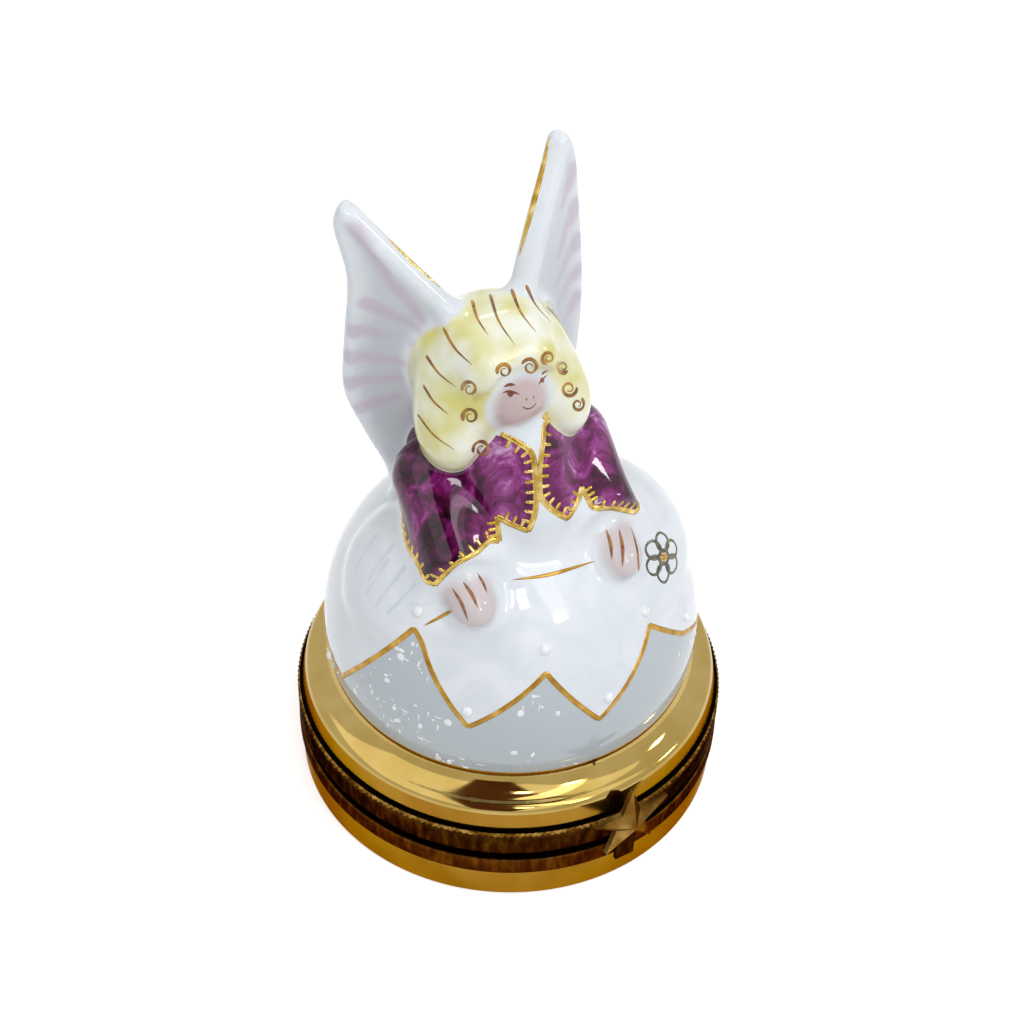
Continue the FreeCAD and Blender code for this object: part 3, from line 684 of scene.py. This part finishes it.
# the gold of the jacket's trim and the wings' edges: laid thicker, so paler and brighter
trimGold = metal(
    "thickBrushedOnGold", 1.2, [(0.3, "a58238"), (0.5, "c2a352"), (0.7, "dec68a")], (0.2, 0.34), 0.01,
    Detail=2.0)
# brass gone dark in the air, drawn in streaks by its turning and rubbed bright where fingers reach it
darkBrass = metal(
    "patinatedStampedBrass", 0.9, [(0.3, "241104"), (0.5, "3a2109"), (0.66, "52350f"), (0.85, "7d5f2c")],
    (0.34, 0.52), 0.012, "6b4a22", stretch=(1, 1, 0.3), Detail=5.0, Roughness=0.6)
wornBrass = metal(
    "wornMilledBrass", 1.2, [(0.3, "3a2408"), (0.5, "6b4c1c"), (0.72, "a58548")],
    (0.28, 0.45), 0.012, "a07c40", Detail=4.0)
warmBrass = metal(
    "tarnishedTurnedBrass", 1.0, [(0.3, "371a08"), (0.5, "4e2b0a"), (0.75, "74491a")], (0.34, 0.52), 0.012,
    "7a5526", stretch=(1, 1, 0.35), Detail=5.0, Roughness=0.6)
# the clasp's cast star, browned all over and smooth
castBrass = metal(
    "brownedCastBrass", 3.0, [(0.3, "4a2e10"), (0.5, "7a5824"), (0.72, "a8884a")],
    (0.3, 0.42), 0.01, "8a6a38", Detail=4.0)
# brass coloured near black as painted shade: the tops of both bezels, the outer face of the lower lip and the
# upper band's bore and ledge, which lie in shadow in the groove under the flange and inside the box
grooveShadeBrass = metal(
    "brassDarkenedAsGrooveShade", 0.8, [(0.3, "070402"), (0.7, "150c05")], (0.5, 0.7), 0.02, "1a120a", Detail=4.0)


def enamel(name, code, darker, size):
    # glassy colour laid on with a fine brush, thinner towards the ends
    material, tree, shader = newMaterial(name, Roughness=0.18, IOR=1.5)
    colour = colourRamp(tree, noiseAt(tree, size, Detail=2.0), [(0.4, darker), (0.6, code)])
    tree.links.new(colour, shader.inputs["Base Color"])
    return material


hairBrown = enamel("brownGoldBrushEnamel", "b8841c", "744608", 1.5)
faceBrown = enamel("sepiaBrushEnamel", "8a4a2c", "6e2f1a", 0.8)
fingerBrown = enamel("russetBrushEnamel", "a5713c", "7d4a22", 1.2)
petalGrey = enamel("greyGoldBrushEnamel", "7d7656", "4a4a44", 0.9)
dotWhite = enamel("raisedWhiteEnamel", "f6f8fa", "eef2f5", 0.6)
print("materials mixed")

porcelain = newPiece(
    "porcelainLid", clayPoints, clayFaces, "lid", "white_porcelain", glazed,
    replaced=("lid_shell", "bust", "head", "hair", "left_sleeve", "right_sleeve", "left_hand", "right_hand",
              "left_wing", "right_wing", "left_lower_wing", "right_lower_wing"))
for name, values in paint.items():
    layer = porcelain.data.attributes.new(name, "FLOAT", "POINT")
    layer.data.foreach_set("value", values.astype(np.float32))

# painted lines: flat ribbons of paint, raised in the middle and sunk a little into the glaze


def evenly(points, step=0.25):
    points = np.asarray(points, float)
    at = np.r_[0, np.cumsum(np.linalg.norm(np.diff(points, axis=0), axis=1))]
    t = np.linspace(0, 1, max(int(at[-1] / step), 4) + 1)
    return np.stack([np.interp(t * at[-1], at, points[:, k]) for k in range(points.shape[1])], 1), t


def lineWidth(t, half):
    # a line with rounded ends
    return half * np.clip(np.minimum(t, 1 - t) / 0.04, 0.05, 1) ** 0.5


def brushWidth(t, half):
    # a stroke that starts full and is drawn out to a point
    return half * np.clip(np.minimum(t / 0.06, 1), 0.1, 1) ** 0.5 * np.clip(1 - t, 0.03, 1) ** 0.6


def spindleWidth(t, half):
    return half * np.clip(np.sin(pi * t), 0.03, 1) ** 0.7


def paintLines(name, paths, slot, material, lift=0.06, field=bareField):
    centre = settle(np.vstack([path for path, _ in paths]), field, 2)
    width = np.concatenate([w for _, w in paths])
    tangent = unit(np.vstack([np.gradient(path, axis=0) for path, _ in paths]))
    normal = unit(slope(field, centre))
    side = unit(np.cross(normal, tangent))
    across = np.array([-1, -0.6, 0, 0.6, 1])
    ring = centre[:, None] + side[:, None] * (across[None, :, None] * width[:, None, None])
    ring = settle(ring.reshape(-1, 3), field, 2).reshape(ring.shape)
    rise = 0.015 + np.minimum(lift, width * 0.5)[:, None] * (1 - across ** 2)
    top = ring + normal[:, None] * rise[:, :, None]
    under = ring[:, [4, 2, 0]] - normal[:, None] * 0.12
    points = np.concatenate([top, under], 1)
    faces, first = [], 0
    for path, _ in paths:
        at = first + np.arange(len(path))
        for k in range(8):
            after = (k + 1) % 8
            here, ahead = at[:-1] * 8, at[1:] * 8
            faces += np.stack([here + k, ahead + k, ahead + after, here + after], 1).tolist()
        faces += [list(range(at[0] * 8, at[0] * 8 + 8)), list(range(at[-1] * 8 + 7, at[-1] * 8 - 1, -1))]
        first += len(path)
    newPiece(name, points.reshape(-1, 3), faces, "lid", slot, material)


def photoPaths(strokes, width, half, bow=0.0):
    # strokes given by pixels of the photograph, bowed sideways by a share of their length
    lines = []
    for stroke in strokes:
        pixels = np.array(stroke, float)
        if bow and len(pixels) == 2:
            run = pixels[1] - pixels[0]
            pixels = np.array([pixels[0], pixels.mean(0) + bow * np.array([-run[1], run[0]]), pixels[1]])
        if len(pixels) > 2:
            pixels = smoothCurve(pixels, 6)
        lines.append(evenly(pixels, 2.0)[0])
    paths = [evenly(line) for line in runsFromPhoto(lines)]
    return [(path, width(t, half)) for path, t in paths]


hairLines = {
    "strokes": [
        ((472, 300), (488, 335)), ((490, 294), (515, 345)), ((511.5, 289), (536, 332)),
        ((526, 285), (551, 322)), ((443, 327.5), (472, 365)), ((426, 355.5), (456, 387)),
        ((423, 385), (448.5, 414.5)), ((417.5, 414.5), (454, 449.5))],
    "half": 0.2, "bow": 0.07,
    "curls": [  # middle and size in pixels, and the angle where the brush starts
        ((504.5, 371), 7.5, 200), ((530, 367), 8.2, 160), ((548.5, 358), 6.6, 250),
        ((563, 367), 6.0, 320), ((569, 388.5), 8.0, 10), ((578, 404.5), 6.5, 60),
        ((469.5, 389), 7.8, 190), ((470.5, 416.5), 8.2, 210), ((481.5, 449), 8.6, 200)],
    "curlHalf": 0.21, "curlTurns": 1.4,
    "backAngles": (96, 270, 16), "backLevels": (20.5, 12.0, 24), "backGap": 0.25,
}


def curlPaths(curls):
    lines = []
    t = np.linspace(0, 1, 40)
    for (x, y), radius, start in curls:
        a = np.radians(start) - t * hairLines["curlTurns"] * 2 * pi
        r = radius * (1 - 0.72 * t)
        lines.append(np.stack([x + r * np.cos(a), y - r * np.sin(a) * 1.05], 1))
    paths = [evenly(line, 0.12) for line in runsFromPhoto(lines)]
    return [(path, brushWidth(t, hairLines["curlHalf"]) + 0.03) for path, t in paths]


backHair = []
levels = np.linspace(*hairLines["backLevels"])
for angle in np.arange(*hairLines["backAngles"]):
    start, out = ringStarts("hair", np.full(len(levels), angle), levels, head["hair"][0][1])
    path = trace(start @ figureTurn.T + pivot, -out @ figureTurn.T, bareField)
    if np.abs(clayParts(path)["hair"]).max() < hairLines["backGap"]:
        path, t = evenly(path)
        backHair.append((path, brushWidth(t, hairLines["half"])))
frontHair = photoPaths(hairLines["strokes"], brushWidth, hairLines["half"], hairLines["bow"])
paintLines("hairStrokes", frontHair + backHair, "hair_enamel", hairBrown)
paintLines("hairCurls", curlPaths(hairLines["curls"]), "hair_enamel", hairBrown)

faceLines = {  # strokes by pixels, and half their width in mm
    "brows": ([((503.5, 387), (509, 384.5), (515.5, 385)), ((541.5, 375), (545, 371.5), (549, 370))], 0.19),
    "eyes": ([((502, 393.5), (507, 391.3), (512, 391.6), (520, 394.5)),
              ((538.5, 385), (541.5, 380), (547.5, 375))], 0.14),
    "irises": ([((507, 393.6), (514, 393.8)), ((540.5, 382), (544, 378))], 0.4),
    "nostrils": ([((525.6, 399.4), (527.2, 399.4)), ((533, 397), (534.2, 397))], 0.14),
    "smile": ([((522, 406.5), (527.5, 409), (533, 407), (536.5, 402.5))], 0.1),
}
facePaths = []
for strokes, half in faceLines.values():
    facePaths += photoPaths(strokes, spindleWidth, half)
paintLines("faceFeatures", facePaths, "skin_enamel", faceBrown, lift=0.03)

fingers = {
    "strokes": [((452, 588), (468, 621)), ((463, 582), (478, 608)), ((477, 573), (487, 593)),
                ((606, 529), (612, 560)), ((619, 529), (622.5, 567)), ((631, 527), (639, 573))],
    "half": 0.2, "bow": -0.05,
}
fingerPaths = photoPaths(fingers["strokes"], spindleWidth, fingers["half"], fingers["bow"])
paintLines("fingerLines", fingerPaths, "skin_enamel", fingerBrown)

wand = {"strokes": [((423.5, 626), (453, 610)), ((512, 580), (550, 574.5), (595.5, 561))], "half": 0.2}
wandPaths = photoPaths(wand["strokes"], spindleWidth, wand["half"])
paintLines("paintedWand", wandPaths, "white_porcelain", brushGold)

hemLine, _ = evenly(hemCorners, 0.8)
hemPath, t = evenly(onSkirt(*hemLine.T))
hemPaths = [(hemPath, lineWidth(t, hem["half"]))]
paintLines("goldHem", hemPaths, "white_porcelain", brushGold, lift=hem["lift"])

footLine = {"level": 16.85, "half": 0.42, "step": 0.6}
degrees = np.linspace(-180, 180, 361)
footPath, _ = evenly(onSkirt(degrees, np.full(len(degrees), footLine["level"])), footLine["step"])
footPaths = [(footPath, np.full(len(footPath), footLine["half"]))]
paintLines("goldFootLine", footPaths, "gilt_porcelain", satinGold)

trim = {"half": 0.33, "tooth": 1.2, "gap": 1.15, "toothHalf": 0.2}
trimPaths, toothPaths = [], []
for side in ("left", "right"):
    for span in jacket[side]:
        curve = smoothCurve(span, 6) if len(span) > 2 else np.array(span, float)
        chart, _ = evenly(curve * [radians(jacket["girth"]), 1], 0.3)
        path, _ = evenly(onDress(chart[:, 0] / radians(jacket["girth"]), chart[:, 1]))
        trimPaths.append((path, trim["half"] * np.ones(len(path))))
        spots, _ = evenly(path, trim["gap"])
        run = unit(np.gradient(spots, axis=0))
        inward = np.cross(unit(slope(dressField, spots)), run)
        beside = [spots + inward * k for k in (0.6, -0.6)]
        ahead, behind = (insideJacket(p, clayParts(p)) for p in beside)
        inward *= np.where(ahead > behind, 1, -1)[:, None]
        for spot, way, depth in zip(spots[1:-1], inward[1:-1], np.maximum(ahead, behind)[1:-1]):
            if depth > 0.2:
                toothPath, t = evenly(np.array([spot, spot + way * trim["tooth"]]), 0.2)
                toothPaths.append((toothPath, lineWidth(t, trim["toothHalf"])))
paintLines("goldJacketTrim", trimPaths + toothPaths, "jacket_enamel", trimGold, lift=0.1)

blossom = {"pixel": (664, 557), "ring": 1.75, "petal": (1.05, 1.0), "petals": 6, "half": 0.19, "star": 0.75,
           "starHalf": 0.22}
centre = fromPhoto([blossom["pixel"]])[0]
outward = unit(slope(bareField, centre[None]))[0]
upward = unit(np.array([0, 0, 1.0]) - outward * outward[2])
sideways = np.cross(upward, outward)
petalPaths, starPaths = [], []
turn = np.linspace(0, 2 * pi, 40)
for k in range(blossom["petals"]):
    a = 2 * pi * (k + 0.5) / blossom["petals"]
    far = upward * cos(a) + sideways * sin(a)
    beside = sideways * cos(a) - upward * sin(a)
    loop = centre + far * (blossom["ring"] + blossom["petal"][0] * np.cos(turn)[:, None])
    loop = loop + beside * blossom["petal"][1] * np.sin(turn)[:, None]
    loop, t = evenly(settle(loop, bareField, 3), 0.15)
    petalPaths.append((loop, blossom["half"] * (1 - 0.25 * np.cos(2 * pi * t))))
    ray = np.array([centre - far * 0.1, centre + far * blossom["star"]])
    ray, t = evenly(settle(ray, bareField, 3), 0.12)
    starPaths.append((ray, brushWidth(t, blossom["starHalf"])))
paintLines("blossomPetals", petalPaths, "white_porcelain", petalGrey)
paintLines("blossomStar", starPaths, "white_porcelain", brushGold)

wingEdges = {  # first and last share of the run from root to tip, place across the edge and half width in mm
    "left": (0.05, 1.0, 0.7, 0.48), "right": (0.0, 0.6, 0.4, 0.28),
}
edgePaths = []
for side in ("left", "right"):
    corners, t = evenly(smoothCurve(wing[side + "Outline"][4:8], 8))
    first, last, lean, half = wingEdges[side]
    corners = corners[(t >= first) & (t <= last)]
    path = settle(onWing(corners[:, 0], np.full(len(corners), lean), corners[:, 1], side), bareField, 3)
    path, t = evenly(path)
    edgePaths.append((path, spindleWidth(t, half)))
paintLines("goldWingEdges", edgePaths, "wing_porcelain", trimGold)
print("lines painted")

# raised enamel dots at the corners of the hem, and flecks over the underskirt


def enamelDots(name, centres, sizes, detail, replaced=()):
    ball = bmesh.new()
    bmesh.ops.create_icosphere(ball, subdivisions=detail, radius=1)
    ball.verts.index_update()
    shape = np.array([v.co[:] for v in ball.verts])
    facets = np.array([[v.index for v in f.verts] for f in ball.faces])
    ball.free()
    normal = unit(slope(bareField, centres))
    first = unit(np.cross(normal, [0.31, 0.17, 0.93]))
    second = np.cross(normal, first)
    axes = np.stack([first * sizes[:, :1], second * sizes[:, 1:2], normal * sizes[:, 2:]], 1)
    points = centres[:, None] + np.einsum("vk,nkj->nvj", shape, axes)
    faces = (facets[None] + np.arange(len(centres))[:, None, None] * len(shape)).reshape(-1, 3)
    points = points.reshape(-1, 3)
    newPiece(name, points, faces.tolist(), "lid", "white_enamel", dotWhite, replaced=replaced)


beads = {
    "pixels": [
        (418, 611.5), (467, 711.5), (545, 649.5), (608.5, 697.5), (645, 611.5), (331.5, 655), (686, 617)],
    "radius": 0.6, "height": 0.55, "aboveHem": 2.0,
}
hidden = [(a, z + beads["aboveHem"]) for a, z in hem["hidden"][1:]]
beadCentres = np.vstack([fromPhoto(beads["pixels"]), onSkirt(*np.array(hidden, float).T)])
beadSizes = np.tile([beads["radius"], beads["radius"], beads["height"]], (len(beadCentres), 1))
enamelDots("enamelBeads", beadCentres, beadSizes, 3, replaced=("enamel_beads",))

flecks = {
    "clusters": 110, "each": 9, "levels": (17, 32), "spread": (5.0, 0.9), "sizes": (0.06, 0.55),
    "floor": 17.2, "seed": 11,
    "density": [
        (-180, 0.4), (-125, 0.7), (-90, 1.0), (-60, 1.0), (-42, 0.6), (-25, 0.35), (-10, 0.04), (25, 0.04),
        (38, 0.5), (70, 0.6), (180, 0.4)],
}
chance = np.random.default_rng(flecks["seed"])
middles = np.stack(
    [chance.uniform(-180, 180, flecks["clusters"]), chance.uniform(*flecks["levels"], flecks["clusters"])], 1)
spots = np.repeat(middles, flecks["each"], 0)
spots = spots + chance.normal(size=spots.shape) * flecks["spread"]
turns, levels = spots.T
likely = np.interp(turns, *np.array(flecks["density"], float).T)
kept = (np.interp(turns, hemAngles, hemLevels) - levels > 0.8) & (levels > flecks["floor"])
kept &= chance.random(len(turns)) < likely
fleckCentres = onSkirt(turns[kept], levels[kept])
small, large = flecks["sizes"]
fleckSizes = (small + (large - small) * chance.random((len(fleckCentres), 3)) ** 2.2) * [1, 1, 0.4]
enamelDots("enamelFlecks", fleckCentres, fleckSizes, 2)
print("enamel dots", len(beadCentres), "and flecks", len(fleckCentres))

# turned pieces: profiles as (radius, level, rounding, material), in millimetres, round the upright axis


def roundCorners(profile, steps=5):
    points, zones = [], []
    for i, (radius, level, rounding, zone) in enumerate(profile):
        here = np.array([radius, level])
        sides = [np.array(profile[k % len(profile)][:2]) - here for k in (i - 1, i + 1)]
        ends = [here + unit(side) * rounding for side in sides]
        for t in np.linspace(0, 1, steps) if rounding else (0,):
            points.append((1 - t) ** 2 * ends[0] + 2 * t * (1 - t) * here + t * t * ends[1])
            zones.append(zone)
    return np.array(points), zones


def turnedPiece(name, profile, body, slot, *materials, replaced=(), segments=360, teeth=0, toothZone=-1,
                toothDepth=0.0):
    points, zones = roundCorners(profile)
    angles = np.linspace(0, 2 * pi, segments, endpoint=False)
    notch = toothDepth * (0.5 - 0.5 * np.cos(teeth * angles))
    cut = np.array([z == toothZone for z in zones]).astype(float)
    radii = points[:, 0] - notch[:, None] * cut
    levels = np.broadcast_to(points[:, 1], radii.shape)
    mesh = np.stack([radii * np.cos(angles)[:, None], radii * np.sin(angles)[:, None], levels], -1)
    count = len(points)
    ring, spot = np.meshgrid(np.arange(segments), np.arange(count), indexing="ij")
    ring, spot = ring.ravel(), spot.ravel()
    nextRing, nextSpot = (ring + 1) % segments, (spot + 1) % count
    here, ahead = ring * count, nextRing * count
    faces = np.stack([here + spot, ahead + spot, ahead + nextSpot, here + nextSpot], 1)
    piece = newPiece(name, mesh.reshape(-1, 3), faces, body, slot, *materials, replaced=replaced)
    piece.data.polygons.foreach_set("material_index", np.array(zones)[spot] % len(materials))
    piece.data.set_sharp_from_angle(angle=radians(40))


flange = {"mouth": 21.75, "neck": 24.15, "rim": 24.4, "crease": 23.8, "foot": 20.8, "cavity": 18.3,
          "levels": (9.3, 11.5, 14.3, 16.3), "step": 12.9, "coveRadius": 3.2}


def covePoints(start, end, radius, steps):
    # hollow arc between two points of a profile, its middle above and outside it
    start, end = np.array(start), np.array(end)
    chord = end - start
    half = np.linalg.norm(chord) / 2
    out = np.array([chord[1], -chord[0]]) / (2 * half)
    middle = (start + end) / 2 + out * sqrt(radius ** 2 - half ** 2)
    first, last = (atan2(*(p - middle)[::-1]) for p in (start, end))
    angles = np.linspace(first % (2 * pi), last % (2 * pi), steps)
    return [(middle[0] + radius * cos(a), middle[1] + radius * sin(a)) for a in angles]


mouth, neck, rim, crease, foot, cavity, levels, step, coveRadius = flange.values()
rimLevel, flangeLevel, creaseLevel, footLevel = levels
cove = covePoints((crease, creaseLevel), (foot, footLevel), coveRadius, 20)
profile = [
    (mouth, rimLevel, 0.3, 2), (neck, rimLevel, 0.2, 0), (neck, flangeLevel, 0, 0),
    (rim, flangeLevel, 0.3, 0), (crease + 0.05, creaseLevel, 0.8, 1)]
profile += [(r, z, 0, 1) for r, z in cove if r < crease - 0.85]
profile += [(foot - 0.9, footLevel + 0.2, 0, 2), (cavity - 0.05, footLevel, 0, 2), (mouth, step, 0.6, 2)]
turnedPiece("gildedFlange", profile, "lid", "gilt_porcelain", satinGold, brightGold, whiteGlaze,
            replaced=("lid_shell",))

bowl = {"radius": 24.6, "neck": 24.15, "inside": 21.75, "foot": (19.25, 24.25), "recess": 0.6,
        "shoulder": 4.3, "rim": 6.0, "floor": 2.2, "rounding": 0.35, "bowlRounding": 2.0}
radius, neck, inside, (footIn, footOut), recess, shoulder, rim, floor, edge, corner = bowl.values()
profile = [
    (0.01, recess, 0, 2), (footIn, recess, 0.2, 2), (footIn + 0.6, 0, 0.3, 2), (footOut, 0, 0.2, 0),
    (radius, edge, 0.2, 0), (radius, shoulder, 0.15, 0), (neck, shoulder, 0, 0), (neck, rim, 0, 1),
    (inside, rim, 0.3, 1), (inside, floor, corner, 1), (0.01, floor, 0, 1)]
turnedPiece("gildedBowl", profile, "base", "gilt_porcelain", satinGold, whiteGlaze, biscuit,
            replaced=("base_bowl",))

lowerBand = {"radius": 25.0, "bore": 24.2, "bottom": 4.3, "top": 6.6, "ledge": 23.0, "ledgeBottom": 6.0,
             "lip": (23.2, 23.85), "lipTop": 8.6}
radius, bore, bottom, top, ledge, ledgeLow, (lipIn, lipOut), lipTop = lowerBand.values()
profile = [
    (bore, bottom, 0, 0), (radius - 0.05, bottom, 0.25, 0), (radius, bottom + 1.2, 0.8, 0),
    (radius - 0.05, top, 0.2, 0), (radius - 0.3, top, 0, 1), (lipOut, top, 0.1, 1),
    (lipOut, lipTop - 0.4, 0, 0), (lipOut, lipTop, 0.2, 0), (lipIn, lipTop, 0.2, 0), (lipIn, top, 0, 0),
    (ledge, top, 0.05, 0), (ledge, ledgeLow, 0, 0), (bore, ledgeLow, 0, 0)]
# its top and the outer face of its lip take the painted shade of the groove between the bands
turnedPiece("lowerBezel", profile, "base", "patinated_brass", warmBrass, grooveShadeBrass,
            replaced=("lower_bezel",))

upperBand = {"radius": 25.0, "bore": 24.2, "bottom": 7.7, "top": 11.2, "ledge": 23.0,
             "ledgeLevels": (8.7, 9.3), "ridge": 0.5, "groove": 0.2, "teeth": 220, "toothDepth": 0.16}
radius, bore, bottom, top, ledge, (ledgeLow, ledgeHigh), ridge, groove, teeth, toothDepth = upperBand.values()
ridgeFoot = top - ridge
profile = [
    (bore, bottom, 0, 0), (radius - 0.08, bottom, 0.4, 0), (radius, (bottom + ridgeFoot) / 2, 1.0, 0),
    (radius - 0.05, ridgeFoot - groove, 0.1, 0), (radius - 0.25, ridgeFoot - groove / 2, 0.08, 0),
    (radius, ridgeFoot, 0.12, 1), (radius, top, 0.2, 1), (radius - 0.25, top, 0, 2), (bore, top, 0.1, 2),
    (bore, ledgeHigh, 0, 2),
    (ledge, ledgeHigh, 0.05, 2), (ledge, ledgeLow, 0.05, 2), (bore, ledgeLow, 0, 2)]
# its top, bore and ledge take the painted shade of the groove under the flange
turnedPiece("upperBezel", profile, "lid", "patinated_brass", darkBrass, wornBrass, grooveShadeBrass,
            replaced=("upper_bezel",), segments=880, teeth=teeth, toothZone=1, toothDepth=toothDepth)
print("turned pieces made")

# hinge and clasp keep their own solids, with edges eased by tumbling, by these millimetres
fittings = {"lower_hinge_half": 0.12, "upper_hinge_half": 0.12, "hinge_pin": 0.15, "catch_stud": 0.1,
            "clasp_tongue": 0.15, "clasp_star": 0.16}
for name, easing in fittings.items():
    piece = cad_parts[name]
    piece.data.materials.clear()
    piece.data.materials.append(castBrass if name == "clasp_star" else darkBrass)
    bevel = piece.modifiers.new("easedEdges", "BEVEL")
    bevel.width, bevel.segments, bevel.angle_limit = easing * mm, 3, radians(20)
print("fittings eased")

# floor and light: a white paper sweep, softboxes in front, above and behind, and a brown card where a
# photographer stands


def seenDirectly(tree):
    # 1 for rays from the camera, from shiny metal and through glass, which all see a white studio
    path = addNode(tree, "LightPath").outputs
    ray = path["Is Camera Ray"]
    for other in ("Is Glossy Ray", "Is Transmission Ray"):
        ray = addNode(tree, "Math", {0: ray, 1: path[other]}, operation="MAXIMUM").outputs[0]
    return ray


def stagePlane(name, material, size, place):
    mesh = bpy.data.meshes.new(name)
    x, y = size[0] / 2, size[1] / 2
    mesh.from_pydata([(-x, -y, 0), (x, -y, 0), (x, y, 0), (-x, y, 0)], [], [(0, 1, 2, 3)])
    mesh.materials.append(material)
    plane = bpy.data.objects.new(name, mesh)
    bpy.context.collection.objects.link(plane)
    plane.matrix_world = place
    return plane


def facingBox(azimuth, elevation, distance, target=(0, 0, 0.035)):
    # a place round the box that looks at it
    out = outFrom(azimuth, elevation)
    right = unit(np.cross([0, 0, 1], out))
    return placed(right, np.cross(out, right), out, np.array(target) + out * distance)


studio = {
    "ambient": 0.27, "floorLift": 0.5,
    "softboxes": {  # azimuth, elevation, distance in metres, size in metres, watts
        "upperSoftbox": (-20, 56, 0.5, (0.05, 0.065), 0.15),
        "frontSoftbox": (7, 41, 0.5, (0.075, 0.05), 0.18),
        "windowSoftbox": (9, 62, 0.5, (0.1, 0.4), 0.36),
        "sideSoftbox": (60, 34, 0.5, (0.055, 0.075), 0.34),
        "skylight": (-58, 70, 0.8, (1.4, 1.4), 4.7),
        "backSoftbox": (158, 45, 0.5, (0.09, 0.07), 0.15)},
    "card": (-38, 62, 0.5, (0.24, 1.1)),
}
# matt white paper, and cloth that takes up light
paper, tree, shader = newMaterial("whitePaperSweep", Base_Color=hexColour("f4f4f4"), Roughness=0.9)
shader.inputs["Emission Color"].default_value = hexColour("ffffff")
lift = addNode(tree, "Math", {0: seenDirectly(tree), 1: studio["floorLift"]}, operation="MULTIPLY")
tree.links.new(lift.outputs[0], shader.inputs["Emission Strength"])
stagePlane("floor", paper, (6, 6), Matrix.Identity(4))
brownCloth, _, _ = newMaterial("brownStudioCloth", Base_Color=hexColour("7a4422"), Roughness=0.9)
azimuth, elevation, distance, size = studio["card"]
card = stagePlane("photographerCard", brownCloth, size, facingBox(azimuth, elevation, distance))
card.visible_camera = card.visible_diffuse = card.visible_shadow = card.visible_transmission = False
for name, (azimuth, elevation, distance, size, watts) in studio["softboxes"].items():
    data = bpy.data.lights.new(name, "AREA")
    data.shape = "RECTANGLE"
    data.size, data.size_y, data.energy = *size, watts
    softbox = bpy.data.objects.new(name, data)
    bpy.context.collection.objects.link(softbox)
    softbox.matrix_world = facingBox(azimuth, elevation, distance)
world = bpy.data.worlds.new("studio")
bpy.context.scene.world = world
world.use_nodes = True
tree = world.node_tree
share = {0: seenDirectly(tree), 1: 1 - studio["ambient"], 2: studio["ambient"]}
level = addNode(tree, "Math", share, operation="MULTIPLY_ADD")
tree.nodes["Background"].inputs["Color"].default_value = hexColour("ffffff")
tree.links.new(level.outputs[0], tree.nodes["Background"].inputs["Strength"])
bpy.context.scene.view_settings.view_transform = "Standard"
print("studio lit")
